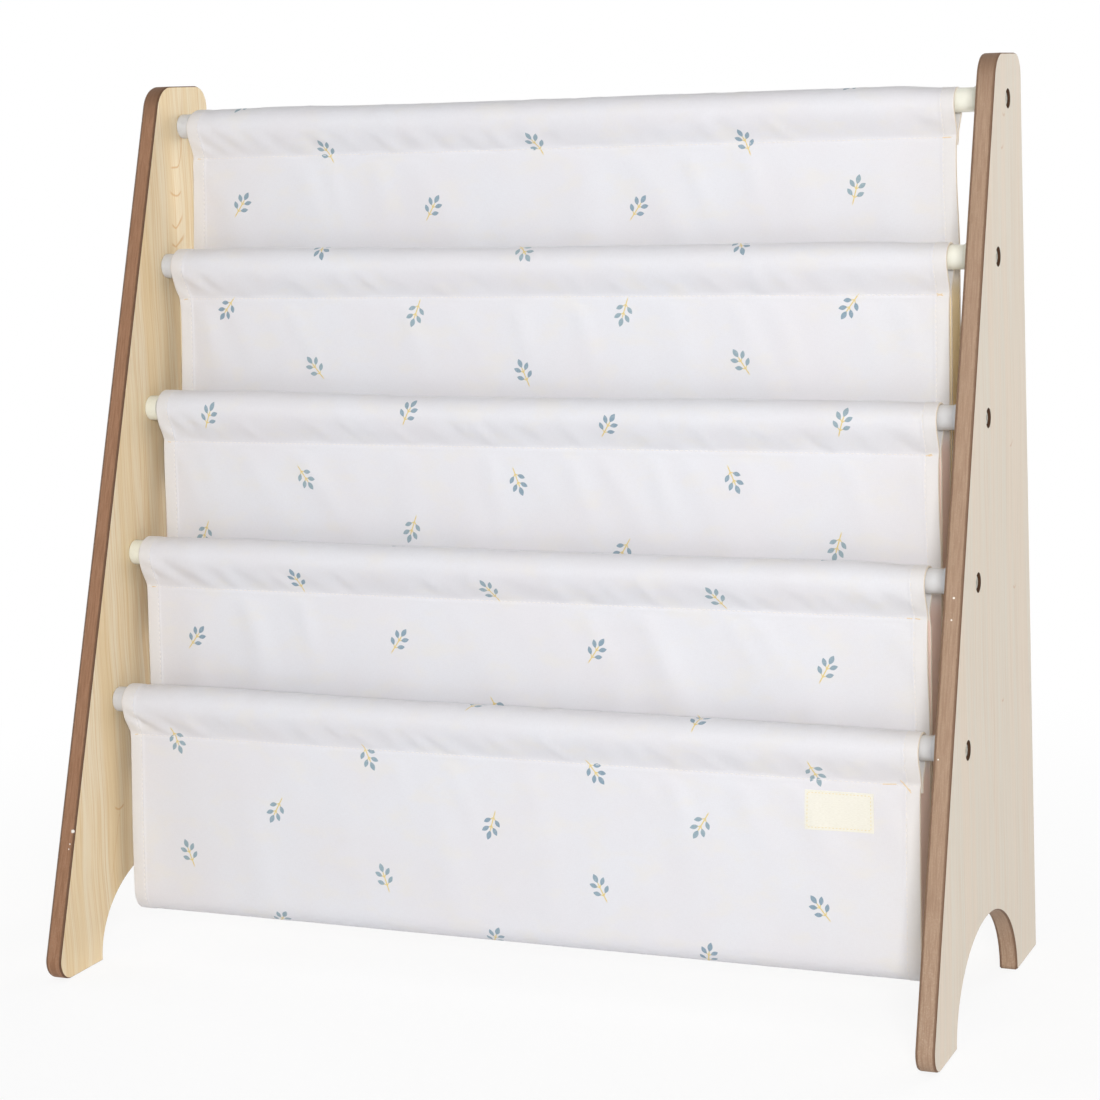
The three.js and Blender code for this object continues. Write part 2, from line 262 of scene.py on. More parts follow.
# How high the casings stand over their rods, how much higher at their left ends and lower at their right ends
TOP_PUFF = 1.5
PUFF_MIDDLE = -42.0
PUFF_SPREAD = 13.0
PUFF_NOISE = (0.25, 70.0, 1.0)
PUFF_MEAN = 0.75
PUFF_LEFT_SPAN = (4.0, 90.0)
PUFF_RIGHT_SPAN = (2.0, 45.0)
LEFT_PUFFS = (2.0, 2.6, 3.4, 2.0, 1.9)
LEFT_PUFF_START = (-12.0, 0.0)
LEFT_PUFF_END = (10.0, 210.0)
RIGHT_SINKS = (1.0, 0.0, 0.0, 0.0, 0.0)
RIGHT_SINK_SPAN = (0.0, 50.0)

# Stitching. A stitch's shape gives its rings' places along it, their girth and how high they stand
STITCH_PITCH = 3.4
STITCH_LENGTH = 2.7
THREAD_RADIUS = 0.24
THREAD_SIDES = 6
STITCH_SHAPE = (
    (-0.5, 0.35, -1.0),
    (-0.34, 0.9, -0.1),
    (0.0, 1.0, 0.25),
    (0.34, 0.9, -0.1),
    (0.5, 0.35, -1.0),
)
TANGENT_STEP = 0.8
RUN_INSET = 2.0
TACK_PITCH = 0.9
TACK_LENGTH = 1.7
TACK_RADIUS = 0.34

# Strokes of the tacks at the seams' ends: seam, then the start and the end, each as the place across the
# cloth, counted from the right edge where negative, and the drop below the seam's stitches
TACK_STROKES = (
    (0, 3.5, 0.0, 6.0, 0.3),
    (1, 3.5, 0.4, 6.5, 0.0),
    (2, 3.0, 0.0, 5.5, 0.5),
    (3, 4.0, 0.0, 7.0, 0.0),
    (4, 3.5, 0.3, 6.0, -0.3),
    (0, -9.0, 0.0, -3.5, 0.0),
    (1, -8.0, -0.8, -4.0, 0.8),
    (1, -7.5, 0.8, -4.5, -0.6),
    (2, -8.0, 0.6, -4.5, -0.8),
    (2, -6.5, 0.8, -4.0, 0.2),
    (3, -13.0, 0.0, -9.5, 0.2),
    (3, -7.5, 0.0, -4.5, 0.4),
    (4, -23.0, 0.2, -15.0, -0.4),
    (4, -12.5, -3.4, -5.5, 4.0),
    (4, -10.5, -0.6, -6.0, 2.8),
)

# Label
LABEL_ROWS = 14
LABEL_COLUMNS = 22
LABEL_THICKNESS = 0.55
LABEL_GAP = 0.05
LABEL_CROWN = (0.18, 1.8, 6.0)
LABEL_EDGE = (0.05, 0.0, 1.0)
LABEL_SHARP_ANGLE = 40.0
LABEL_STITCH_INSET = 1.6
LABEL_STITCH_PITCH = 2.2
LABEL_STITCH_LENGTH = 1.5
LABEL_THREAD_SHARE = 0.9

# Printed sprig, in its own frame with the stem along Y: each leaf and stalk is a middle across and along, an
# angle, a half length and a half width
SPRIG_ACROSS = 77.0
SPRIG_ALONG = 84.0
SPRIG_JITTER = 7.0
SPRIG_TILT = 27.0
SPRIG_SWAY = 14.0
SPRIG_SEED = 7.3
LEAVES = (
    (0.0, 7.2, 90.0, 3.3, 1.75),
    (3.5, 3.6, 46.0, 3.0, 1.55),
    (-3.5, 3.6, 134.0, 3.0, 1.55),
    (3.7, -2.2, 40.0, 2.9, 1.5),
    (-3.7, -2.2, 140.0, 2.9, 1.5),
)
STALKS = (
    (0.0, -2.6, 90.0, 6.9, 0.42),
    (0.9, 1.4, 47.0, 1.4, 0.36),
    (-0.9, 1.4, 133.0, 1.4, 0.36),
    (1.0, -4.4, 42.0, 1.5, 0.36),
    (-1.0, -4.4, 138.0, 1.5, 0.36),
)

# Floor, world and lamps. A lamp is a name, a place, a side and a power in watts
WHITE = (1.0, 1.0, 1.0, 1.0)
FLOOR_RADIUS = 6000.0
FLOOR_SIDES = 96
FLOOR_DROP = 0.05
FLOOR_CLEAR_START = 350.0
FLOOR_CLEAR_END = 950.0
FLOOR_NEAR_SHARE = 0.85
FLOOR_BOUNCE = (228, 229, 232)
FLOOR_SEEN = (252, 252, 252)
AMBIENT = 0.35
LAMP_TARGET = (0.0, 0.0, 300.0)
LAMPS = (
    ("key_lamp", (1260.0, -2560.0, 950.0), 600.0, 52.0),
    ("right_lamp", (2210.0, -910.0, 900.0), 1500.0, 4.0),
    ("left_lamp", (-2210.0, -910.0, 1314.0), 1500.0, 8.0),
    ("side_lamp", (-2750.0, 300.0, 700.0), 1500.0, 22.0),
    ("back_lamp", (1150.0, 2650.0, 900.0), 1500.0, 42.0),
)


def srgb(red, green, blue):
    """A colour in screen values from 0 to 255, as the linear colour that a shader takes."""
    shares = [value / 255 for value in (red, green, blue)]
    return (*(s / 12.92 if s <= 0.04045 else ((s + 0.055) / 1.055) ** 2.4 for s in shares), 1.0)


def unit(vectors):
    """Vectors scaled to a length of 1."""
    return vectors / np.linalg.norm(vectors, axis=-1, keepdims=True)


# Camera


def aim(thing, right, up, back, place):
    """Puts a camera or lamp at a place in millimetres, turned by its three directions."""
    turn = np.eye(4)
    turn[:3, :3] = np.stack([right, up, back], axis=1)
    turn[:3, 3] = np.array(place) * MM
    thing.matrix_world = Matrix(turn.tolist())
    bpy.context.scene.collection.objects.link(thing)


def make_camera():
    """The photograph's camera, from its yaw, pitch and roll."""
    yaw, pitch, roll = (math.radians(a) for a in (CAMERA_YAW, CAMERA_PITCH, CAMERA_ROLL))
    forward = np.array([
        -math.sin(yaw) * math.cos(pitch),
        math.cos(yaw) * math.cos(pitch),
        math.sin(pitch),
    ])
    level_right = np.array([math.cos(yaw), math.sin(yaw), 0.0])
    level_up = np.cross(level_right, forward)
    right = level_right * math.cos(roll) + level_up * math.sin(roll)
    up = level_up * math.cos(roll) - level_right * math.sin(roll)
    data = bpy.data.cameras.new("photo_camera")
    data.sensor_width = SENSOR_WIDTH
    data.sensor_fit = "HORIZONTAL"
    data.lens = FOCAL_PIXELS / IMAGE_SIZE * SENSOR_WIDTH
    data.shift_x = (IMAGE_SIZE / 2 - CENTRE_PIXEL[0]) / IMAGE_SIZE
    data.shift_y = (CENTRE_PIXEL[1] - IMAGE_SIZE / 2) / IMAGE_SIZE
    data.clip_start, data.clip_end = CLIP_RANGE
    camera = bpy.data.objects.new("photo_camera", data)
    aim(camera, right, up, -forward, CAMERA_PLACE)
    bpy.context.scene.camera = camera


# Shader nodes. Places are in millimetres, so a noise's scale is in cells a millimetre


class Value:
    """What a node gives out. Arithmetic on it adds Math nodes."""

    def __init__(self, nodes, socket):
        self.nodes = nodes
        self.socket = socket

    def __add__(self, other):
        return self.nodes.math("ADD", self, other)

    def __sub__(self, other):
        return self.nodes.math("SUBTRACT", self, other)

    def __mul__(self, other):
        return self.nodes.math("MULTIPLY", self, other)

    def __truediv__(self, other):
        return self.nodes.math("DIVIDE", self, other)

    def __pow__(self, other):
        return self.nodes.math("POWER", self, other)

    def __mod__(self, other):
        return self.nodes.math("MODULO", self, other)

    def __abs__(self):
        return self.nodes.math("ABSOLUTE", self)


class Nodes:
    """The nodes of a material or a world, and short ways to add to them. What goes into a socket is a
    number, a colour, a vector or a Value."""

    def __init__(self, owner, shader="Principled BSDF"):
        owner.use_nodes = True
        self.owner = owner
        self.tree = owner.node_tree
        self.shader = self.tree.nodes[shader]

    def put(self, socket, value):
        if isinstance(value, Value):
            self.tree.links.new(value.socket, socket)
        else:
            socket.default_value = value

    def add(self, kind, inputs=(), output=0, **settings):
        """A new node, as the Value of one output. inputs pairs sockets with what they take."""
        node = self.tree.nodes.new(kind)
        for setting, value in settings.items():
            setattr(node, setting, value)
        for key, value in dict(inputs).items():
            self.put(node.inputs[key], value)
        return Value(self, node.outputs[output])

    def outputs(self, value):
        """Every output of the node that a Value comes from."""
        return [Value(self, socket) for socket in value.socket.node.outputs]

    def math(self, operation, *values):
        return self.add("ShaderNodeMath", enumerate(values), operation=operation)

    def ramp(self, value, low, high, to_low=0.0, to_high=1.0, curve="SMOOTHSTEP"):
        """From to_low to to_high while a value goes from low to high."""
        inputs = {"Value": value, "From Min": low, "From Max": high, "To Min": to_low, "To Max": to_high}
        return self.add("ShaderNodeMapRange", inputs, "Result", interpolation_type=curve)

    def split(self, vector):
        return self.outputs(self.add("ShaderNodeSeparateXYZ", {0: vector}))

    def join(self, *values):
        return self.add("ShaderNodeCombineXYZ", enumerate(values))

    def noise(self, vector, scale, detail=2.0, roughness=0.5, distortion=0.0):
        inputs = {"Vector": vector, "Scale": scale, "Detail": detail, "Roughness": roughness}
        inputs["Distortion"] = distortion
        return self.add("ShaderNodeTexNoise", inputs, "Fac")

    def streaks(self, values, detail=2.0, roughness=0.5, distortion=0.0):
        """Noise over two or three values that already give it its scale."""
        return self.noise(self.join(*values), 1.0, detail, roughness, distortion)

    def mix(self, share, first, second):
        return self.add("ShaderNodeMix", {"Factor": share, 6: first, 7: second}, 2, data_type="RGBA")

    def layers(self, color, *layers):
        """A colour with others laid over it in turn, each as its share and its colour."""
        for share, tone in layers:
            color = self.mix(share, color, tone)
        return color

    def bump(self, height, distance, strength):
        inputs = {"Strength": strength, "Distance": distance * MM, "Height": height}
        return self.add("ShaderNodeBump", inputs, "Normal")

    def place(self):
        """Places on the piece in millimetres."""
        inputs = {0: self.add("ShaderNodeTexCoord", output="Object"), "Scale": 1 / MM}
        return self.add("ShaderNodeVectorMath", inputs, operation="SCALE")

    def seen(self):
        """1 for what the camera sees directly, in a reflection or through glass."""
        rays = self.add("ShaderNodeLightPath").socket.node.outputs
        names = ("Is Camera Ray", "Is Glossy Ray", "Is Transmission Ray")
        camera, glossy, through = (Value(self, rays[name]) for name in names)
        return self.math("MAXIMUM", self.math("MAXIMUM", camera, glossy), through)

    def finished(self, **inputs):
        """Sets the shader's own sockets, named with _ for a space, and gives back the material or world."""
        for socket, value in inputs.items():
            self.put(self.shader.inputs[socket.replace("_", " ")], value)
        return self.owner


def new_material(name):
    """The nodes of a new material."""
    return Nodes(bpy.data.materials.new(name))


def grain_mark(n, y, z, mark):
    """A thin curved growth mark, solid to near its ends."""
    middle, height, left_rise, right_rise, power, left_reach, right_reach = mark
    aside = y - middle
    leftward = n.math("MAXIMUM", aside * -1.0, 0.0)
    rightward = n.math("MAXIMUM", aside, 0.0)
    left_curve = leftward ** power * left_rise
    right_curve = rightward ** power * right_rise
    away = abs(z - (left_curve + right_curve + height))
    width = n.math("MAXIMUM", left_curve, right_curve) * MARK_SPREAD + MARK_WIDTH
    line = n.ramp(away / width, 0.2, 1.0, 1.0, 0.0)
    past_left = n.ramp(leftward, left_reach * MARK_SOLID_SHARE, left_reach, 1.0, 0.0)
    past_right = n.ramp(rightward, right_reach * MARK_SOLID_SHARE, right_reach, 1.0, 0.0)
    return line * (past_left * past_right)


def maple(name, tones, figure_centre, figure_shape, marks, seed):
    """Maple-grain laminate: upright streaks, broad warm bands, a faint tall figure of nested points and a few
    marks. The figure's shape is its steepness, pitch and reach."""
    base, warm, streak, figure = (srgb(*tone) for tone in tones)
    steep, pitch, reach = figure_shape
    n = new_material(name)
    _, y, z = n.split(n.place())
    sway = 16.0
    swayed = y + n.streaks((0.0, z * 0.006, seed)) * sway
    shift = swayed + seed
    fine = n.streaks((shift * 0.62, z * 0.007), 4.0, 0.6)
    thin = n.streaks((shift * 1.7, z * 0.012, 6.0))
    bands = n.streaks((shift * 0.075, z * 0.0022, 4.0), distortion=0.3)
    flecks = n.streaks((shift * 2.2, z * 0.16, 9.0))
    patches = n.streaks((y * 0.05, z * 0.009, seed + 2.0), 1.0)

    aside = abs(swayed - (figure_centre + sway / 2))
    wave = n.math("COSINE", (z - aside ** 1.25 * steep) * (2 * math.pi / pitch))
    points = n.ramp(wave, -1.0, 1.0, curve="LINEAR") ** 9.0
    near = n.ramp(aside, reach * 0.4, reach, 1.0, 0.0)
    points = points * near * n.ramp(patches, 0.42, 0.62)
    drawn = 0.0
    for mark in marks:
        drawn = n.math("MAXIMUM", drawn, grain_mark(n, y, z, mark))
    color = n.layers(
        base,
        (n.ramp(bands, 0.36, 0.64), warm),
        (n.ramp(fine, 0.46, 0.64) * 0.75, streak),
        (n.ramp(thin, 0.53, 0.66) * 0.5, streak),
        (n.ramp(flecks, 0.6, 0.75) * 0.12, figure),
        (points * 0.3, figure),
        (drawn * 0.7, figure),
    )
    return n.finished(
        Base_Color=color,
        Roughness=n.ramp(fine, 0.3, 0.7, 0.42, 0.52),
        Specular_IOR_Level=0.3,
        Normal=n.bump(fine + flecks * 0.4, 0.04, 0.5),
    )


def fibreboard(name, tones, chips, seed):
    """Sealed brown board edge: fibres along the edge, specks, painted shade along the arrises and over the
    top, rubbed spots near the feet and chips."""
    base, dark, pale, arris = (srgb(*tone) for tone in tones)
    n = new_material(name)
    place = n.place()
    x, y, z = n.split(place)
    along = z + y * 0.3
    fibres = n.streaks((x * 0.95, along * 0.05, seed), 4.0, 0.65)
    ribs = n.streaks((x * 2.6, along * 0.03, seed + 6.0))
    broad = n.streaks((x * 0.1, along * 0.022, seed + 3.0))
    specks = n.noise(place, 1.3, 3.0, 0.6)
    near_feet = n.ramp(z, 20.0, 150.0, 1.0, 0.25)
    rubbed = n.ramp(specks, 0.46, 0.6) * n.ramp(fibres, 0.44, 0.6, 1.0, 0.0) * near_feet
    # Painted shade: the arris tone darkens the edge near both laminates, along a blotchy line, and towards
    # the top.
    blotches = (n.noise(place, 0.3) - 0.5) * 0.7
    from_middle = abs(abs(x) - BOARD_MIDDLE)
    arris_shade = n.ramp(from_middle + blotches, BOARD_HALF - 1.5, BOARD_HALF - 0.7)
    top_shade = n.ramp(z, 572.0, 600.0, 0.0, 0.6)
    color = n.layers(
        base,
        (n.ramp(fibres, 0.36, 0.64), dark),
        (n.ramp(ribs, 0.5, 0.68) * 0.35, dark),
        (n.ramp(specks, 0.55, 0.7) * 0.3, pale),
        (n.ramp(broad, 0.4, 0.7) * 0.25, dark),
        (rubbed * 0.5, pale),
        (n.math("MAXIMUM", arris_shade * 0.85, top_shade), arris),
    )
    for centre, radius in chips:
        away = n.add("ShaderNodeVectorMath", {0: place, 1: centre}, "Value", operation="DISTANCE")
        chip = n.ramp(away + (specks - 0.5) * radius, radius * 0.6, radius, 1.0, 0.0)
        color = n.mix(chip, color, srgb(*CHIP_TONE))
    return n.finished(
        Base_Color=color,
        Roughness=0.62,
        Specular_IOR_Level=0.25,
        Normal=n.bump(fibres + specks * 0.6, 0.12, 0.7),
    )


def shaded_hole_wall(name):
    """The wall of a bolt hole in the board: coarse torn fibres, with its dark browns and darker rings painted
    as the shade in the recess.
    """
    n = new_material(name)
    place = n.place()
    fibres = n.noise(place, 1.4, 4.0, 0.65)
    rings = n.streaks((n.split(place)[0] * 3.0,))
    # Painted shade: the dark tones and rings stand for the shade deep in the hole.
    color = n.layers(
        srgb(92, 66, 48),
        (n.ramp(fibres, 0.35, 0.65), srgb(70, 48, 34)),
        (n.ramp(rings, 0.45, 0.65) * 0.5, srgb(48, 34, 26)),
    )
    return n.finished(
        Base_Color=color,
        Roughness=0.8,
        Specular_IOR_Level=0.15,
        Normal=n.bump(fibres + rings, 0.15, 0.7),
    )


def glossy_coat(n, color, roughness, texture):
    """The clear, faintly textured surface of paint and of plastic."""
    return n.finished(
        Base_Color=color,
        Roughness=roughness,
        Coat_Weight=0.5,
        Coat_Roughness=0.1,
        Normal=n.bump(texture, 0.03, 0.15),
    )


def painted_steel(name, color, aged):
    """Powder coat with a faint orange peel."""
    n = new_material(name)
    place = n.place()
    peel = n.noise(place, 0.9)
    cloudy = n.ramp(n.noise(place, 0.05), 0.35, 0.65, 0.0, 0.6)
    return glossy_coat(n, n.mix(cloudy, color, aged), n.ramp(peel, 0.3, 0.7, 0.16, 0.24), peel)


def moulded_plastic(name, color, aged):
    """Smooth moulded plastic with fine mould texture and faint scuffs."""
    n = new_material(name)
    place = n.place()
    grain = n.noise(place, 3.2, 2.0, 0.6)
    scuffs = n.noise(place, 0.35, 4.0, 0.7, 0.6)
    tone = n.mix(n.ramp(scuffs, 0.5, 0.75, 0.0, 0.5), color, aged)
    return glossy_coat(n, tone, n.ramp(scuffs, 0.35, 0.7, 0.14, 0.24), grain)


def turned_metal(name, color):
    """Plated or plain turned metal with a fine texture and a little tarnish."""
    n = new_material(name)
    place = n.place()
    blotches = n.noise(place, 0.8, 4.0, 0.65)
    fine = n.noise(place, 5.0)
    return n.finished(
        Base_Color=n.mix(n.ramp(blotches, 0.5, 0.72, 0.0, 0.55), color, srgb(150, 146, 136)),
        Metallic=1.0,
        Roughness=n.ramp(blotches, 0.3, 0.7, 0.25, 0.4),
        Normal=n.bump(fine, 0.02, 0.4),
    )


def sprig_print(n, u, v):
    """Masks of the printed leaves and stems, and a random number for each sprig. Sprigs stand in a half-drop
    lattice, each tilted and set a little off."""
    column = n.math("FLOOR", u / SPRIG_ACROSS)
    is_odd = abs(column) % 2.0
    dropped = v + is_odd * (SPRIG_ALONG / 2)
    row = n.math("FLOOR", dropped / SPRIG_ALONG)
    cell = {"Vector": n.join(column, row, SPRIG_SEED)}
    chance = n.add("ShaderNodeTexWhiteNoise", cell, "Color", noise_dimensions="3D")
    random_x, random_y, random_turn = n.split(chance)

    def off_centre(value, cell_size, index, random):
        return value - (index + 0.5) * cell_size - (random - 0.5) * (2 * SPRIG_JITTER)

    from_middle = n.join(
        off_centre(u, SPRIG_ACROSS, column, random_x),
        off_centre(dropped, SPRIG_ALONG, row, random_y),
    )
    lean = (is_odd - 0.5) * math.radians(2 * SPRIG_TILT)
    sway = (random_turn - 0.5) * math.radians(2 * SPRIG_SWAY)
    upside = abs(row) % 2.0 * math.pi
    inputs = {"Vector": from_middle, "Angle": lean + sway + upside}
    turned = n.add("ShaderNodeVectorRotate", inputs, rotation_type="Z_AXIS")

    def in_shape(across, along, degrees, half_length, half_width):
        inputs = {
            "Vector": turned,
            "Location": (across, along, 0.0),
            "Rotation": (0.0, 0.0, math.radians(degrees)),
            "Scale": (half_length, half_width, 1.0),
        }
        return n.split(n.add("ShaderNodeMapping", inputs, vector_type="TEXTURE"))

    leaves = 0.0
    for leaf in LEAVES:
        lengthwise, sideways, _ = in_shape(*leaf)
        reach = lengthwise * lengthwise + abs(sideways)
        leaves = n.math("MAXIMUM", leaves, n.ramp(reach, 0.9, 1.04, 1.0, 0.0))
    stems = 0.0
    for stalk in STALKS:
        lengthwise, sideways, _ = in_shape(*stalk)
        reach = n.math("MAXIMUM", abs(lengthwise), abs(sideways))
        stems = n.math("MAXIMUM", stems, n.ramp(reach, 0.8, 1.2, 1.0, 0.0))
    return leaves, stems, random_turn


def flat_place(n, map_name):
    """Places on the cloth as it was cut, in millimetres: across it and along it."""
    across, along, _ = n.split(n.add("ShaderNodeUVMap", uv_map=map_name))
    return across * (1 / MM), along * (1 / MM)


def sling_fabric(name, width):
    """White plain-weave polyester with the sparse printed sprig, slight unevenness and a warmer tone in its
    hems. Inside and behind its pockets, a warm tint is painted light: the warm bounce from the boards on the
    shaded layers."""
    n = new_material(name)
    u, v = flat_place(n, "flat_cloth")
    leaves, stems, chance = sprig_print(n, u, v)
    threads = n.streaks((u * 0.3, v * 2.4), 3.0, 0.6) + n.streaks((u * 2.4, v * 0.3), 3.0, 0.6)
    cloudy = n.noise(n.join(u, v), 0.012, 3.0, 0.55)
    patches = n.noise(n.join(u, v * 1.6, 3.0), 0.035, 3.0, 0.6)
    warm_bounce, bounce_in_first, _ = n.split(n.add("ShaderNodeUVMap", uv_map="warm_bounce_cloth"))
    from_side = n.math("MINIMUM", u, n.math("SUBTRACT", width, u))
    hems = n.ramp(from_side, HEM_STITCH_INSET - 0.5, HEM_STITCH_INSET + 0.5, 0.3, 0.0)
    ink_gaps = n.ramp(threads, 0.9, 1.3, 1.0, 0.75)
    color = n.layers(
        srgb(225, 225, 229),
        (n.ramp(cloudy, 0.35, 0.65), srgb(225, 223, 226)),
        (n.ramp(threads, 0.85, 1.2, 0.0, 0.35), srgb(219, 217, 220)),
        (n.math("MAXIMUM", hems, n.ramp(patches, 0.48, 0.72, 0.0, 0.4)), srgb(228, 224, 217)),
        # Painted light: the warm bounce from the boards on the cloth's shaded inner layers, mauve, and
        # yellower in the first pocket.
        (warm_bounce, n.mix(bounce_in_first, srgb(234, 208, 198), srgb(244, 226, 188))),
        (stems * (ink_gaps * 0.95), srgb(222, 198, 118)),
        (leaves * ink_gaps, n.mix(n.ramp(chance, 0.0, 1.0), srgb(128, 152, 168), srgb(144, 165, 174))),
    )
    turn = math.pi / 0.55
    weave = n.math("SINE", u * turn) * n.math("SINE", v * turn)
    return n.finished(
        Base_Color=color,
        Roughness=n.ramp(threads, 0.8, 1.2, 0.5, 0.62),
        Specular_IOR_Level=0.4,
        Sheen_Weight=0.15,
        Sheen_Roughness=0.4,
        Normal=n.bump(weave * 0.5 + threads * 0.8, 0.08, 0.5),
    )


def sewing_thread(name, color, shade):
    """Twisted thread."""
    n = new_material(name)
    twist = n.noise(n.place(), 2.6)
    return n.finished(
        Base_Color=n.mix(n.ramp(twist, 0.35, 0.65), color, shade),
        Roughness=0.7,
        Sheen_Weight=0.2,
        Normal=n.bump(twist, 0.05, 0.4),
    )


def label_fabric(name):
    """Cream woven tape with fine ribs."""
    n = new_material(name)
    u, v = flat_place(n, "flat_label")
    ribs = n.math("SINE", v * (2 * math.pi / 0.7))
    slubs = n.streaks((u * 0.5, v * 3.0), 3.0, 0.6)
    return n.finished(
        Base_Color=n.mix(n.ramp(slubs, 0.35, 0.7), srgb(237, 234, 222), srgb(230, 226, 212)),
        Roughness=0.75,
        Sheen_Weight=0.25,
        Normal=n.bump(ribs * 0.4 + slubs, 0.08, 0.5),
    )


# Meshes


def add_piece(name, points, faces, materials, replaced=(), smooth=None, face_slots=None):
    """A mesh object from points in millimetres, which rides on the bookshelf's one body."""
    mesh = bpy.data.meshes.new(name)
    mesh.from_pydata((np.asarray(points, float) * MM).tolist(), [], faces)
    for material in materials:
        mesh.materials.append(material)
    if face_slots is not None:
        mesh.polygons.foreach_set("material_index", face_slots)
    mesh.polygons.foreach_set("use_smooth", smooth or [True] * len(mesh.polygons))
    mesh.validate()
    mesh.update()
    piece = bpy.data.objects.new(name, mesh)
    bpy.context.scene.collection.objects.link(piece)
    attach(piece, "root")
    if replaced:
        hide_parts(*replaced)
    return piece


def add_map(piece, name, places):
    """A UV map from a pair of numbers for each of the mesh's points."""
    corners = np.zeros(len(piece.data.loops), int)
    piece.data.loops.foreach_get("vertex_index", corners)
    layer = piece.data.uv_layers.new(name=name)
    layer.uv.foreach_set("vector", places[corners].astype(np.float32).ravel())


def grid_faces(rows, columns, first, flipped):
    """Quads of a grid whose points start at first."""
    i, j = np.meshgrid(np.arange(rows - 1), np.arange(columns - 1), indexing="ij")
    a = first + i * columns + j
    quads = np.stack([a, a + 1, a + columns + 1, a + columns], axis=2).reshape(-1, 4)
    return quads[:, ::-1] if flipped else quads


def grid_border(rows, columns):
    """Rows and columns of a grid's border points, once round."""
    cells = [(0, j) for j in range(columns)]
    cells += [(i, columns - 1) for i in range(1, rows)]
    cells += [(rows - 1, j) for j in range(columns - 2, -1, -1)]
    cells += [(i, 0) for i in range(rows - 2, 0, -1)]
    return np.array(cells).T


def quarter_arc(radius, steps=BEND_STEPS):
    """How far a rounded edge stands back from its first and its second face, from the first face on."""
    angles = [math.pi / 2 * step / steps for step in range(steps + 1)]
    return [(radius * (1 - math.cos(angle)), radius * (1 - math.sin(angle))) for angle in angles]


# Side panels


def rounded_corner(before, corner, after, radius):
    """Points of an arc that rounds a corner off, from the side of before to the side of after."""
    back, ahead = unit(before - corner), unit(after - corner)
    half_angle = math.acos(float(back @ ahead)) / 2
    centre = corner + unit(back + ahead) * radius / math.sin(half_angle)
    start, end = (corner + way * radius / math.tan(half_angle) - centre for way in (back, ahead))
    sweep = math.pi - 2 * half_angle
    points = []
    for step in range(CORNER_STEPS + 1):
        share = step / CORNER_STEPS
        from_start = math.sin((1 - share) * sweep) / math.sin(sweep)
        from_end = math.sin(share * sweep) / math.sin(sweep)
        points.append(centre + start * from_start + end * from_end)
    return points


def panel_outline():
    """The side panel's outline as (depth, height) points, counter-clockwise from the front foot."""
    front_foot = np.array([0.0, 0.0])
    rear_foot = np.array([FOOT_REACH, 0.0])
    top_front = np.array([TOP_SETBACK, PANEL_HEIGHT])
    top_rear = np.array([TOP_SETBACK + TOP_WIDTH, PANEL_HEIGHT])
    half_width = (FOOT_REACH - FRONT_FOOT_LENGTH - REAR_FOOT_LENGTH) / 2
    middle = FRONT_FOOT_LENGTH + half_width
    points = rounded_corner(top_front, front_foot, rear_foot, FOOT_FRONT_RADIUS)
    for step in range(ARCH_STEPS + 1):
        angle = math.pi * step / ARCH_STEPS
        rise = 0.0 if step in (0, ARCH_STEPS) else math.sin(angle) * ARCH_HEIGHT
        points.append(np.array([middle - math.cos(angle) * half_width, rise]))
    points.append(rear_foot)
    points += rounded_corner(rear_foot, top_rear, top_front, TOP_REAR_RADIUS)
    points += rounded_corner(top_rear, top_front, front_foot, TOP_FRONT_RADIUS)
    points = np.array(points)
    low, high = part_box("left_panel_core")
    points[:, 0] += (low.y + high.y) / 2 / MM - (points[:, 0].min() + points[:, 0].max()) / 2
    return points


def inset(outline, distance):
    """The outline moved inwards by a distance, with mitred corners."""
    ahead = unit(np.roll(outline, -1, axis=0) - outline)
    inward = np.stack([-ahead[:, 1], ahead[:, 0]], axis=1)
    before = np.roll(inward, 1, axis=0)
    mitre = (inward + before) / (1 + (inward * before).sum(axis=1, keepdims=True))
    return outline + mitre * distance


def ring_points(centre, radius):
    """Points of a circle as (depth, height), counter-clockwise."""
    angles = np.arange(TURNED_SIDES) * 2 * math.pi / TURNED_SIDES
    return np.array(centre) + radius * np.stack([np.cos(angles), np.sin(angles)], axis=1)


def rounded_stations(near, far, near_radius, far_radius):
    """(x, inset) pairs across a sheet from its near face to its far face, with each arris rounded."""
    stations = [(near + x, back) for x, back in quarter_arc(near_radius, ARRIS_STEPS)]
    stations += [(far - x, back) for back, x in quarter_arc(far_radius, ARRIS_STEPS)]
    return [s for index, s in enumerate(stations) if index == 0 or s != stations[index - 1]]


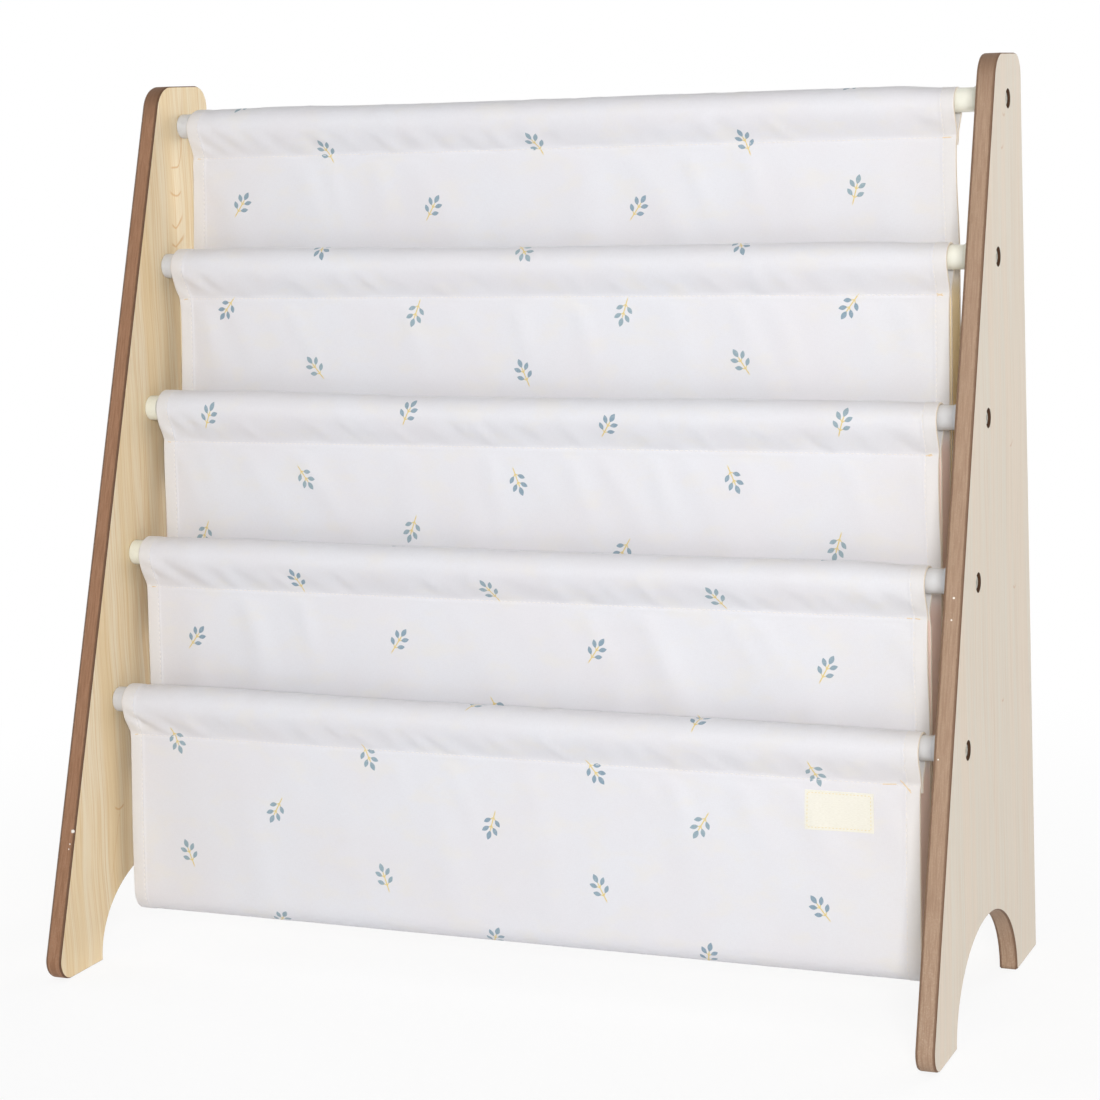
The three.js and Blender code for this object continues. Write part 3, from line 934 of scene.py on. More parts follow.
def sheet_piece(name, side, stations, hole_stations, centres, outline, materials, node):
    """A flat sheet of a panel. stations give its edge's shape across its thickness, and hole_stations each
    hole's. The materials are the faces', the holes' walls' and the edge's."""
    points, faces, smooth, face_slots = [], [], [], []

    def add_face(corners, as_given, is_smooth, face_slot):
        faces.append(corners if as_given else corners[::-1])
        smooth.append(is_smooth)
        face_slots.append(face_slot)

    def add_wall(rings, outward):
        """Joins rings of (x, points), and gives back where each ring's points start and how many they are."""
        firsts = []
        for x, ring in rings:
            firsts.append(len(points))
            points.extend((side * x, depth, height) for depth, height in ring)
        count = len(rings[0][1])
        for first, second in zip(firsts, firsts[1:]):
            for index in range(count):
                after = (index + 1) % count
                quad = (first + index, first + after, second + after, second + index)
                add_face(quad, outward == (side > 0), True, 2 if outward else 1)
        return [(first, count) for first in firsts]

    walls = [add_wall([(x, inset(outline, distance)) for x, distance in stations], True)]
    for centre in centres:
        walls.append(add_wall([(x, ring_points(centre, radius)) for x, radius in hole_stations], False))
    for end, outward in ((0, False), (-1, True)):
        loops = [wall[end] for wall in walls]
        indices = [first + index for first, count in loops for index in range(count)]
        flat = [[(*points[first + index][1:], 0.0) for index in range(count)] for first, count in loops]
        for triangle in tessellate_polygon(flat):
            corners = [indices[corner] for corner in triangle]
            a, b, c = (np.array(points[corner][1:]) for corner in corners)
            turn = (b[0] - a[0]) * (c[1] - a[1]) - (b[1] - a[1]) * (c[0] - a[0])
            if abs(turn) >= SMALLEST_TURN:
                add_face(corners, (turn > 0) == (outward == (side > 0)), False, 0)
    return add_piece(name, points, faces, materials, [node], smooth, face_slots)


def make_panel(side_name, side, centres, board, hole_wall_shade, inner_face, outer_face):
    """One side panel: the fibreboard core between its two laminates, which stop a little short of its rounded
    arris."""
    outline = panel_outline()
    sheet_outline = inset(outline, LAMINATE_INSET)
    sheet_outline[:, 1] = np.maximum(sheet_outline[:, 1], 0.0)
    outer_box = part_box(f"{side_name}_panel_outer_laminate")
    head_floor = max(abs(corner.x) for corner in outer_box) / MM - HEAD_HOLE_DEPTH
    shank, head = SHANK_HOLE_RADIUS, HEAD_HOLE_RADIUS
    for part, material, arrises, hole_radii in (
        ("core", board, (BOARD_ARRIS, BOARD_ARRIS), (shank, head)),
        ("inner_laminate", inner_face, (LAMINATE_ARRIS, 0.0), (shank, shank)),
        ("outer_laminate", outer_face, (0.0, LAMINATE_ARRIS), (head, head)),
    ):
        node = f"{side_name}_panel_{part}"
        near, far = sorted(abs(corner.x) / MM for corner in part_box(node))
        stations = rounded_stations(near, far, *arrises)
        holes = list(zip((near, far), hole_radii))
        edge, slot = sheet_outline, "maple_laminate"
        if part == "core":
            edge, slot = outline, "board_core"
            holes[1:1] = [(head_floor, shank), (head_floor, head)]
        name = f"{side_name}_{part}_sheet"
        sheet_piece(name, side, stations, holes, centres, edge, [material, hole_wall_shade, board], node)


# Rods and fittings


def turned_piece(name, profile, centre, side, material, node, hex_rings=(), closed=False):
    """A turned piece on an axis along X. profile lists (radius, x) for the right side, and hex_rings the
    rings that are hexagonal, where radius is half the width across flats."""
    angles = np.arange(TURNED_SIDES) * 2 * math.pi / TURNED_SIDES
    from_flat = (angles + math.pi / 6) % (math.pi / 3) - math.pi / 6
    points = []
    rings = []
    for index, (radius, x) in enumerate(profile):
        if radius == 0:
            rings.append([len(points)])
            points.append((side * x, *centre))
            continue
        reach = radius / np.cos(from_flat) if index in hex_rings else np.full(TURNED_SIDES, radius)
        rings.append(list(range(len(points), len(points) + TURNED_SIDES)))
        for angle, distance in zip(angles, reach):
            depth = centre[0] + distance * math.cos(angle)
            height = centre[1] + distance * math.sin(angle)
            points.append((side * x, depth, height))
    pairs = list(zip(rings, rings[1:]))
    if closed:
        pairs.append((rings[-1], rings[0]))
    faces = []
    for first, second in pairs:
        for index in range(TURNED_SIDES):
            after = (index + 1) % TURNED_SIDES
            places = ((first, index), (first, after), (second, after), (second, index))
            corners = [ring[place % len(ring)] for ring, place in places]
            unique = [c for i, c in enumerate(corners) if c != corners[i - 1]]
            if len(unique) > 2:
                faces.append(unique if side > 0 else unique[::-1])
    piece = add_piece(name, points, faces, [material], [node])
    piece.data.set_sharp_from_angle(angle=math.radians(TURNED_SHARP_ANGLE))
    return piece


def rod_centre(number):
    """A rod's axis as (depth, height)."""
    low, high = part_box(f"rod_{number}_tube")
    return ((low.y + high.y) / 2 / MM, (low.z + high.z) / 2 / MM)


def collar_face(number, side_name):
    """How far from the middle the end cap's collar starts, where the plug's solid first reaches its full
    radius."""
    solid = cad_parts[f"rod_{number}_{side_name}_end_plug"]
    middle = rod_centre(number)
    starts = []
    for vertex in solid.data.vertices:
        place = np.array(vertex.co) / MM
        if math.hypot(place[1] - middle[0], place[2] - middle[1]) > CAP_SLOT_RADIUS + COLLAR_MARGIN:
            starts.append(abs(place[0]))
    return min(starts)


def cap_profile(base, lip, stem_end):
    """The end cap: a collar round the tube's end, and a stem in its bore with a pocket for the insert."""
    wall = CAP_RADIUS - CAP_SLOT_RADIUS
    profile = [(INSERT_POCKET_RADIUS, stem_end + STEM_TAPER), (INSERT_POCKET_RADIUS, base)]
    profile += [(CAP_RADIUS - back, base - x) for x, back in quarter_arc(CAP_BASE_RADIUS)]
    profile += [(CAP_RADIUS - back, lip + x) for back, x in quarter_arc(CAP_EDGE_RADIUS)]
    profile += [(CAP_SLOT_RADIUS + wall * CAP_LIP_SHARE, lip), (CAP_SLOT_RADIUS, lip + RIM_RADIUS)]
    profile += [(CAP_SLOT_RADIUS, base - CAP_FLOOR), (STEM_RADIUS, base - CAP_FLOOR)]
    profile += [(STEM_RADIUS, stem_end + STEM_TAPER), (STEM_RADIUS - STEM_TAPER, stem_end)]
    profile += [(INSERT_POCKET_RADIUS, stem_end)]
    return profile[::-1]


def bolt_profile(tip, face):
    """The bolt from its tip to the floor of its hexagonal socket, and which of its rings are hexagonal."""
    seat = face - HEAD_HEIGHT
    profile = [(0, tip), (BOLT_RADIUS - BOLT_TIP, tip), (BOLT_RADIUS, tip + BOLT_TIP), (BOLT_RADIUS, seat)]
    profile += [(HEAD_RADIUS - RIM_RADIUS, seat), (HEAD_RADIUS, seat + RIM_RADIUS)]
    profile += [(HEAD_RADIUS - back, face - HEAD_DOME - x) for back, x in quarter_arc(HEAD_EDGE_RADIUS)]
    shoulder = (HEAD_RADIUS + KEY_WIDTH) / 2 - HEAD_EDGE_RADIUS / 2
    profile.append((shoulder, face - HEAD_DOME * HEAD_DOME_EDGE_SHARE))
    profile.append((KEY_WIDTH / math.sqrt(3) + KEY_CHAMFER, face))
    first_hex = len(profile)
    profile += [(KEY_WIDTH / 2, face - KEY_CHAMFER), (KEY_WIDTH / 2, face - KEY_DEPTH)]
    profile.append((0, face - KEY_DEPTH - KEY_CHAMFER))
    return profile, (first_hex, first_hex + 1)


def make_rod(number, centre, paint, plastics, metal, brass):
    """One rod: its tube, an end cap on each end and a bolt through each panel. The inserts keep their
    solids."""
    tube_node = f"rod_{number}_tube"
    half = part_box(tube_node)[1].x / MM
    bore = TUBE_RADIUS - TUBE_WALL
    outside = [(TUBE_RADIUS - back, half - x) for x, back in quarter_arc(RIM_RADIUS)]
    tube = [(bore, -half + RIM_RADIUS), (bore, half - RIM_RADIUS), *outside]
    tube += [(radius, -x) for radius, x in reversed(outside)]
    turned_piece(f"rod_{number}_painted_tube", tube, centre, 1, paint, tube_node, closed=True)
    for side_name, side, plastic in (("left", -1, plastics[0]), ("right", 1, plastics[1])):
        label = f"rod_{number}_{side_name}"
        plug_node = f"{label}_end_plug"
        stem_end, base = sorted(abs(corner.x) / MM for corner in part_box(plug_node))
        cap = cap_profile(base, collar_face(number, side_name), stem_end)
        turned_piece(f"{label}_end_cap", cap, centre, side, plastic, plug_node, closed=True)
        tip, face = sorted(abs(corner.x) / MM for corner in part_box(f"{label}_bolt"))
        profile, hexes = bolt_profile(tip, face)
        turned_piece(f"{label}_button_bolt", profile, centre, side, metal, f"{label}_bolt", hexes)
        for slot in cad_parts[f"{label}_threaded_insert"].material_slots:
            slot.material = brass


# Sling cloth


def run_length(points):
    """How far along a line each of its points lies."""
    return np.concatenate([[0], np.cumsum(np.linalg.norm(np.diff(points, axis=0), axis=1))])


def smoothstep(value, low, high):
    """0 below low, 1 above high and smooth between them."""
    share = np.clip((value - low) / (high - low), 0, 1)
    return share * share * (3 - 2 * share)


def bell(distance, spread):
    """1 at no distance, and less the greater it is."""
    return np.exp(-((distance / spread) ** 2))


def bezier(*controls):
    """Points of a cubic curve."""
    a, b, c, d = (np.array(point, float) for point in controls)
    share = np.linspace(0, 1, CURVE_STEPS + 1)[:, None]
    rest = 1 - share
    return a * rest**3 + 3 * b * share * rest**2 + 3 * c * share**2 * rest + d * share**3


def casing_side(facing):
    """One side of a casing's drop shape from its top to the end of its seam, as (depth, height) from the rod.
    facing is -1 for the front side and 1 for the rear."""
    top, width = CASING_TOP, CASING_HALF_WIDTH
    toe = LAYER_PITCH / 2
    toe_height = SEAM_HEIGHT - SEAM_DROP
    widest = (width, -TUBE_RADIUS * SIDE_DROP_SHARE)
    round_part = bezier((0, top), (width * ROUND_SHARE, top), (width, top * ROUND_SHARE), widest)
    middle = (toe + (width - toe) * TAPER_SHARE, (toe_height - TUBE_RADIUS) / 2)
    taper = bezier(widest, (width, -TUBE_RADIUS), middle, (toe, toe_height))
    points = np.concatenate([round_part, taper[1:], [(toe, -SEAM_DROP)]])
    points[:, 0] = facing * points[:, 0] - SEAM_LEAD * (top - points[:, 1]) / (top + SEAM_DROP)
    return points


def pocket_line(behind, before, is_lowest):
    """The line of a pocket's cloth: down from the rod behind, round the fold and up to the rod in front."""
    lean = math.radians(HANGING_LEAN)
    down = np.array([-math.sin(lean), -math.cos(lean)])
    backward = np.array([math.cos(lean), -math.sin(lean)])
    front_layer = -SEAM_LEAD - LAYER_PITCH / 2
    rear_layer = -SEAM_LEAD + LAYER_PITCH / 2
    back = np.array([behind[0] + front_layer, behind[1] - PANEL_START])
    front = np.array([before[0] + (front_layer if is_lowest else rear_layer), before[1] - PANEL_START])
    bottom = before[1] - rod_centre(ROD_COUNT)[1] + LOWEST_CLOTH
    radius = float((back - front) @ backward) / 2
    run = (bottom + radius - front[1] - backward[1] * radius) / down[1]
    centre = front + down * run + backward * radius
    angles = np.linspace(0, math.pi, CURVE_STEPS + 1)[:, None]
    fold = centre + backward * np.cos(angles) * radius + down * np.sin(angles) * radius
    return np.concatenate([[back], fold, [front]])


def sling_line(centres):
    """The whole cloth's line from its end behind the top rod to its end behind the lowest one, in fine steps.
    Each row is a depth and height, the seam it belongs to, its distance from that seam and whether it shows
    from the front. The second result is how far along the cloth each row lies."""
    last = ROD_COUNT - 1
    parts = []
    for index, centre in enumerate(centres):
        front, rear = (casing_side(facing) + centre for facing in (-1, 1))
        line = np.concatenate([rear[::-1], front[1:]])
        if index in (0, last):
            line = np.concatenate([[rear[-1] - (0, TAIL_LENGTH)], line])
        parts.append((True, index, line if index < last else line[::-1]))
        if index < last:
            parts.append((False, index, pocket_line(centre, centres[index + 1], index == last - 1)))
    rows = []
    for is_casing, index, line in parts:
        length = run_length(line)
        places = np.linspace(0, length[-1], max(2, int(length[-1] / FINE_STEP)) + 1)
        depth, height = (np.interp(places, length, line[:, axis]) for axis in (0, 1))
        if is_casing:
            seam = np.full(len(places), index)
            offset = -places if index == last else places - length[-1]
            shows = np.ones(len(places))
        else:
            on_rear = places <= places[np.argmin(height)]
            seam = np.where(on_rear, index, index + 1)
            offset = np.where(on_rear, places, length[-1] - places)
            shows = np.where(on_rear | (index == last - 1), 1.0, 0.0)
        rows.append(np.stack([depth, height, seam, offset, shows], axis=1))
    rows = np.concatenate(rows)
    step = np.linalg.norm(np.diff(rows[:, :2], axis=0), axis=1)
    rows = rows[np.concatenate([[True], step > SMALLEST_STEP])]
    return rows, run_length(rows[:, :2])


def pick_rows(offsets, length):
    """Which fine points become rows of the mesh: close together at seams and casings, wider on the panels."""
    rows = [0]
    for index in range(1, len(length)):
        wanted = CASING_ROW if offsets[index] < CASING_ROW_END else PANEL_ROW
        if SEAM_ROW_SPAN[0] < offsets[index] < SEAM_ROW_SPAN[1]:
            wanted = SEAM_ROW
        if length[index] - length[rows[-1]] >= wanted:
            rows.append(index)
    if rows[-1] != len(length) - 1:
        rows.append(len(length) - 1)
    return np.array(rows)


def cloth_columns(width):
    """Places across the cloth: close together in the side hems, even between them."""
    inner = HEM_COLUMNS[-1]
    count = round((width - 2 * inner) / COLUMN_PITCH)
    middle = np.linspace(inner, width - inner, count + 1)[1:-1]
    return np.concatenate([HEM_COLUMNS, middle, [width - place for place in reversed(HEM_COLUMNS)]])


def smooth_noise(u, v, noise, seed):
    """Smooth random values about zero over a grid of places. noise is their height and their cells' size."""
    height, cell_u, cell_v = noise
    chance = np.random.default_rng(seed)
    across = u / cell_u + NOISE_MARGIN
    along = v / cell_v + NOISE_MARGIN
    lattice = chance.uniform(-1, 1, (int(across.max()) + 3, int(along.max()) + 3))
    i, j = np.floor(across).astype(int), np.floor(along).astype(int)
    a, b = smoothstep(across - i, 0, 1), smoothstep(along - j, 0, 1)
    low = lattice[i, j] * (1 - a) + lattice[i + 1, j] * a
    high = lattice[i, j + 1] * (1 - a) + lattice[i + 1, j + 1] * a
    return height * (low * (1 - b) + high * b)


def ridges(chance, u, t, width, shape):
    """Slanting ridges side by side across the cloth."""
    pitch, slopes, centre_t, spread, widths, heights, broaden = shape
    rise = np.zeros_like(u)
    place = chance.uniform(-0.5, 0.5) * pitch
    while place < width + RIDGES_PAST_EDGE:
        aside = u - place - chance.uniform(*slopes) * t
        middle = centre_t * chance.uniform(0.8, 1.2)
        reach = spread * chance.uniform(0.75, 1.3)
        broad = chance.uniform(*widths) + broaden * np.abs(t)
        height = chance.uniform(*heights)
        rise += height * bell(aside, broad) * bell(t - middle, reach)
        place += pitch * chance.uniform(0.55, 1.5)
    return rise


def wrinkles(u, t, width, seed):
    """How far the cloth stands off its line near one seam. u is the place across and t the distance from the
    seam, below it where positive and up round the rod where negative."""
    chance = np.random.default_rng(seed)
    casing = sum(ridges(chance, u, t, width, shape) for shape in CASING_RIDGES)
    for place, height in LEFT_END_FOLDS:
        aside = u - place - chance.uniform(0.9, 1.3) * t
        height = height * chance.uniform(0.7, 1.2)
        casing += height * bell(aside, FOLD_HALF_WIDTH) * bell(t - FOLD_MIDDLE, FOLD_SPREAD)
    casing = (casing + smooth_noise(u, t, CASING_NOISE, seed + 11)) * smoothstep(-t, *CASING_SPAN)
    panel = sum(ridges(chance, u, t, width, shape) for shape in PANEL_RIDGES)
    panel = (panel + smooth_noise(u, t, PANEL_NOISE, seed + 19)) * smoothstep(t, *PANEL_SPAN)
    belly = BELLY_MEAN + smooth_noise(u, t, BELLY_NOISE, seed + 17)
    panel += BELLY_HEIGHT * smoothstep(t, *BELLY_SPAN) * belly
    return np.where(t < 0, casing, np.maximum(panel, LOWEST_PANEL))


def top_puff(u, t, width, seam):
    """The casing stands a little above its rod, most near its left end, and less at its right end."""
    from_ends = smoothstep(u, *PUFF_LEFT_SPAN) * smoothstep(width - u, *PUFF_RIGHT_SPAN)
    uneven = PUFF_MEAN + smooth_noise(u, np.zeros_like(u), PUFF_NOISE, 60 + seam)
    left_end = LEFT_PUFFS[seam] * smoothstep(u, *LEFT_PUFF_START) * (1 - smoothstep(u, *LEFT_PUFF_END))
    right_end = RIGHT_SINKS[seam] * (1 - smoothstep(width - u, *RIGHT_SINK_SPAN))
    over_top = bell(t - PUFF_MIDDLE, PUFF_SPREAD)
    return over_top * (TOP_PUFF * from_ends * uneven + left_end - right_end)


class Cloth:
    """The sling's middle surface as a grid, and its two faces."""

    def __init__(self, centres):
        low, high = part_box("sling_pocket_1")
        self.left = low.x / MM
        self.width = high.x / MM - self.left
        fine, length = sling_line(centres)
        rows = pick_rows(fine[:, 3], length)
        self.row_seam, self.row_offset, self.row_shows = fine[rows, 2:].T
        self.along = length[rows]
        self.across = cloth_columns(self.width)
        tangent = unit(np.gradient(fine[:, :2], axis=0))[rows]
        # Positive displacement is on the side that shows in the pockets and outside the upper casings.
        normal = np.stack([tangent[:, 1], -tangent[:, 0]], axis=1)
        self.grid = self._surface(fine[rows, :2], normal)
        self.normal, self.pocket_side, self.other_side = self._faces()

    def showing(self, seam):
        """Which rows belong to a seam and show from the front."""
        return (self.row_seam == seam) & (self.row_shows > 0)

    def _surface(self, line, normal):
        u, t = np.meshgrid(self.across, self.row_offset)
        lift, puff = np.zeros_like(u), np.zeros_like(u)
        for seam in range(ROD_COUNT):
            rows = self.showing(seam)
            outward = 1 if seam < ROD_COUNT - 1 else -1
            groove = STITCH_GROOVE * bell(t[rows] + SEAM_STITCH_UP, GROOVE_SPREAD)
            lift[rows] = outward * (wrinkles(u[rows], t[rows], self.width, 100 + 7 * seam) - groove)
            puff[rows] = outward * top_puff(u[rows], t[rows], self.width, seam)
        hidden = self.row_shows == 0
        uneven = smooth_noise(u[hidden], t[hidden], HIDDEN_NOISE, 5)
        lift[hidden] = HIDDEN_LIFT + uneven * smoothstep(t[hidden], *HIDDEN_SPAN)
        from_side = np.minimum(u, self.width - u)
        at_sides = SIDE_SHARE + (1 - SIDE_SHARE) * smoothstep(from_side, *SIDE_SPAN)
        lift = lift * self._near_fold(line)[:, None] * at_sides + puff
        near_left = 1 - smoothstep(u, 0.0, EDGE_REACH)
        near_right = smoothstep(u - self.width, -EDGE_REACH, 0.0)
        x = self.left + u + self._edge_shift(LEFT_EDGE, 0.0) * near_left
        x += self._edge_shift(RIGHT_EDGE, RIGHT_HIDDEN) * near_right
        y, z = (line[:, None, axis] + normal[:, None, axis] * lift for axis in (0, 1))
        return np.stack([x, y, z], axis=2)

    def _edge_shift(self, shares, hidden):
        """How far right of its straight line a side edge stands at each row."""
        wanted = np.full(len(self.along), float(hidden))
        for seam, (top, front, near, low) in enumerate(shares):
            rows = self.showing(seam)
            t = self.row_offset[rows]
            casing = front + (top - front) * smoothstep(-t, *EDGE_TOP_SPAN)
            below = near + (low - near) * smoothstep(t, *EDGE_LOW_SPAN)
            wanted[rows] = casing + (below - casing) * smoothstep(t, *EDGE_SEAM_SPAN)
        even = np.arange(0.0, self.along[-1] + 1.0)
        weights = bell(np.arange(-EDGE_BLUR_REACH, EDGE_BLUR_REACH + 1), EDGE_BLUR)
        padded = np.pad(np.interp(even, self.along, wanted), EDGE_BLUR_REACH, mode="edge")
        blurred = np.convolve(padded, weights / weights.sum(), "valid")
        return np.interp(self.along, even, blurred)[:, None]

    def _near_fold(self, line):
        """1 away from the folds' lowest lines, less at them, so that the folds stay straight."""
        height = line[:, 1]
        share = np.ones(len(height))
        for index in range(1, len(height) - 1):
            is_lowest = height[index] <= min(height[index - 1], height[index + 1])
            if self.row_offset[index] > LEAST_FOLD_DROP and is_lowest:
                away = np.abs(self.along - self.along[index])
                share *= FOLD_SHARE + (1 - FOLD_SHARE) * smoothstep(away, *FOLD_SPAN)
        return share

    def _faces(self):
        """The grid's normals, its face on the pockets' side and its other face."""
        along = np.gradient(self.grid, self.along, axis=0)
        across = np.gradient(self.grid, self.across, axis=1)
        normal = unit(np.cross(along, across))
        from_side = np.minimum(self.across, self.width - self.across)
        thickness = CLOTH_THICKNESS + HEM_EXTRA * (1 - smoothstep(from_side, *HEM_SPAN))
        thickness -= HEM_STITCH_DENT * bell(from_side - HEM_STITCH_INSET, HEM_DENT_SPREAD)
        half = (thickness / 2)[None, :, None]
        return normal, self.grid + normal * half, self.grid - normal * half

    def at(self, face, u, s):
        """Places and outward normals of a face at places across and along the cloth."""
        columns = np.interp(u, self.across, np.arange(len(self.across)))
        rows = np.interp(s, self.along, np.arange(len(self.along)))
        i = np.clip(np.floor(rows).astype(int), 0, len(self.along) - 2)
        j = np.clip(np.floor(columns).astype(int), 0, len(self.across) - 2)
        a, b = (rows - i)[:, None], (columns - j)[:, None]

        def blend(grid):
            low = grid[i, j] * (1 - b) + grid[i, j + 1] * b
            high = grid[i + 1, j] * (1 - b) + grid[i + 1, j + 1] * b
            return low * (1 - a) + high * a

        normal = unit(blend(self.normal))
        if face == "pocket":
            return blend(self.pocket_side), normal
        return blend(self.other_side), -normal

    def painted_bounce_shares(self, face):
        """Two numbers for each row of a face: 1 where it lies hidden inside or behind the pockets and gets
        the painted warm bounce light, and 1 where it is in the first pocket's two layers, whose painted
        bounce is yellower."""
        hidden = self.row_shows == 0
        warm_bounce = np.where(hidden, 1.0, 0.0)
        if face == "pocket":
            low = smoothstep(self.row_offset, *WARM_BOUNCE_SPAN) * (self.row_seam < ROD_COUNT - 1)
            warm_bounce = np.maximum(warm_bounce, low)
        rear_layer = (self.row_seam == 0) & (self.row_offset > 0)
        front_layer = (self.row_seam == 1) & hidden
        return np.stack([warm_bounce, rear_layer | front_layer], axis=1)

    def seam_place(self, seam, offset):
        """How far along the cloth a seam's line lies, or a place at a distance from it, as in wrinkles()."""
        candidates = np.where(self.showing(seam))[0]
        nearest = candidates[np.argmin(np.abs(self.row_offset[candidates] - offset))]
        sign = 1 if seam < ROD_COUNT - 1 else -1
        return self.along[nearest] + sign * (offset - self.row_offset[nearest])


def make_sling(cloth, material, rim_shade_material):
    """The sling as a closed sheet with two faces and a rounded rim, whose warmer tone is painted shade."""
    rows, columns = cloth.grid.shape[:2]
    count = rows * columns
    i, j = grid_border(rows, columns)
    middle = cloth.grid[i, j]
    outward = unit(middle - cloth.grid[np.clip(i, 1, rows - 2), np.clip(j, 1, columns - 2)])
    half = np.linalg.norm(cloth.pocket_side[i, j] - middle, axis=1, keepdims=True)
    rim = middle + outward * half * RIM_SHARE
    points = np.concatenate([cloth.pocket_side.reshape(-1, 3), cloth.other_side.reshape(-1, 3), rim])
    first = i * columns + j
    after = np.roll(first, -1)
    edge = 2 * count + np.arange(len(first))
    next_edge = np.roll(edge, -1)
    faces = np.concatenate([
        grid_faces(rows, columns, 0, True),
        grid_faces(rows, columns, count, False),
        np.stack([after, first, edge, next_edge], axis=1)[:, ::-1],
        np.stack([count + first, count + after, next_edge, edge], axis=1)[:, ::-1],
    ]).tolist()
    rim_count = 2 * len(first)
    face_slots = [0] * (len(faces) - rim_count) + [1] * rim_count
    nodes = [f"sling_casing_{number}" for number in range(1, ROD_COUNT + 1)]
    nodes += [f"sling_pocket_{number}" for number in range(1, ROD_COUNT)]
    materials = [material, rim_shade_material]
    piece = add_piece("sling_cloth", points, faces, materials, nodes, face_slots=face_slots)
    flat = np.stack(np.meshgrid(cloth.across, cloth.along), axis=2).reshape(-1, 2) * MM
    add_map(piece, "flat_cloth", np.concatenate([flat, flat, flat[first]]))
    # The shares of the painted warm bounce light, as a UV map.
    tones = [np.repeat(cloth.painted_bounce_shares(face), columns, axis=0) for face in ("pocket", "other")]
    add_map(piece, "warm_bounce_cloth", np.concatenate([*tones, tones[0][first]]))
    return piece


# Stitching


def thread_points(centres, tangents, normals, length, radius):
    """Points and faces of short stitches that arch over the cloth and sink into it at both ends."""
    angles = np.arange(THREAD_SIDES) * 2 * math.pi / THREAD_SIDES
    sideways = np.cross(normals, tangents)
    points = []
    for station, girth, lift in STITCH_SHAPE:
        middle = centres + tangents * station * length + normals * lift * radius
        for angle in angles:
            outward = sideways * math.cos(angle) + normals * math.sin(angle)
            points.append(middle + girth * radius * outward)
    points = np.stack(points, axis=1)
    last = points.shape[1] - THREAD_SIDES
    walls = []
    for low in range(0, last, THREAD_SIDES):
        high = low + THREAD_SIDES
        for side in range(THREAD_SIDES):
            after = (side + 1) % THREAD_SIDES
            walls.append((low + side, low + after, high + after, high + side))
    firsts = np.arange(len(centres))[:, None] * points.shape[1]
    cap = np.arange(THREAD_SIDES)
    faces = (firsts[:, None] + np.array(walls)).reshape(-1, 4).tolist()
    faces += (firsts + cap[::-1]).tolist() + (firsts + last + cap).tolist()
    return points.reshape(-1, 3), faces


def stitched_run(cloth, face, start, end, pitch=STITCH_PITCH):
    """Centres, tangents and normals of stitches in a straight run between two (across, along) places."""
    start, end = np.array(start, float), np.array(end, float)
    count = int(np.linalg.norm(end - start) / pitch)
    shares = (np.arange(count) + 0.5) / count
    places = start + (end - start) * shares[:, None]
    step = unit(end - start) * TANGENT_STEP
    centres, normals = cloth.at(face, *places.T)
    before, _ = cloth.at(face, *(places - step).T)
    after, _ = cloth.at(face, *(places + step).T)
    tangents = unit(after - before)
    normals = unit(normals - tangents * (normals * tangents).sum(axis=1, keepdims=True))
    return centres, tangents, normals


def add_stitches(name, runs, length, radius, thread):
    """All the stitches of a list of runs as one piece."""
    centres, tangents, normals = (np.concatenate(parts) for parts in zip(*runs))
    points, faces = thread_points(centres, tangents, normals, length, radius)
    return add_piece(name, points, faces, [thread])


def outside_face(seam):
    """The face that is outside at a seam."""
    return "pocket" if seam < ROD_COUNT - 1 else "other"


def casing_length(cloth, seam):
    """How far round a casing the cloth runs from its front seam to its rear one."""
    rear = -cloth.row_offset[cloth.showing(seam)].min()
    has_tail = seam in (0, ROD_COUNT - 1)
    return rear - (TAIL_LENGTH if has_tail else 0)


def make_stitching(cloth, thread, tack_thread):
    """Seams along the casings, runs down the side hems and a few tacks at each seam's ends."""
    runs = []
    for seam in range(ROD_COUNT):
        for offset in (-SEAM_STITCH_UP, SEAM_STITCH_UP - casing_length(cloth, seam)):
            place = cloth.seam_place(seam, offset)
            ends = (RUN_INSET, place), (cloth.width - RUN_INSET, place)
            runs.append(stitched_run(cloth, outside_face(seam), *ends))
    top, bottom = cloth.along[0] + RUN_INSET, cloth.along[-1] - RUN_INSET
    for across in (HEM_STITCH_INSET, cloth.width - HEM_STITCH_INSET):
        for face in ("pocket", "other"):
            runs.append(stitched_run(cloth, face, (across, top), (across, bottom)))
    tacks = []
    for seam, first, first_drop, last, last_drop in TACK_STROKES:
        ends = []
        for across, drop in ((first, first_drop), (last, last_drop)):
            ends.append((across % cloth.width, cloth.seam_place(seam, drop - SEAM_STITCH_UP)))
        tacks.append(stitched_run(cloth, outside_face(seam), *ends, TACK_PITCH))
    return [
        add_stitches("sling_stitching", runs, STITCH_LENGTH, THREAD_RADIUS, thread),
        add_stitches("sling_bar_tacks", tacks, TACK_LENGTH, TACK_RADIUS, tack_thread),
    ]


# Label


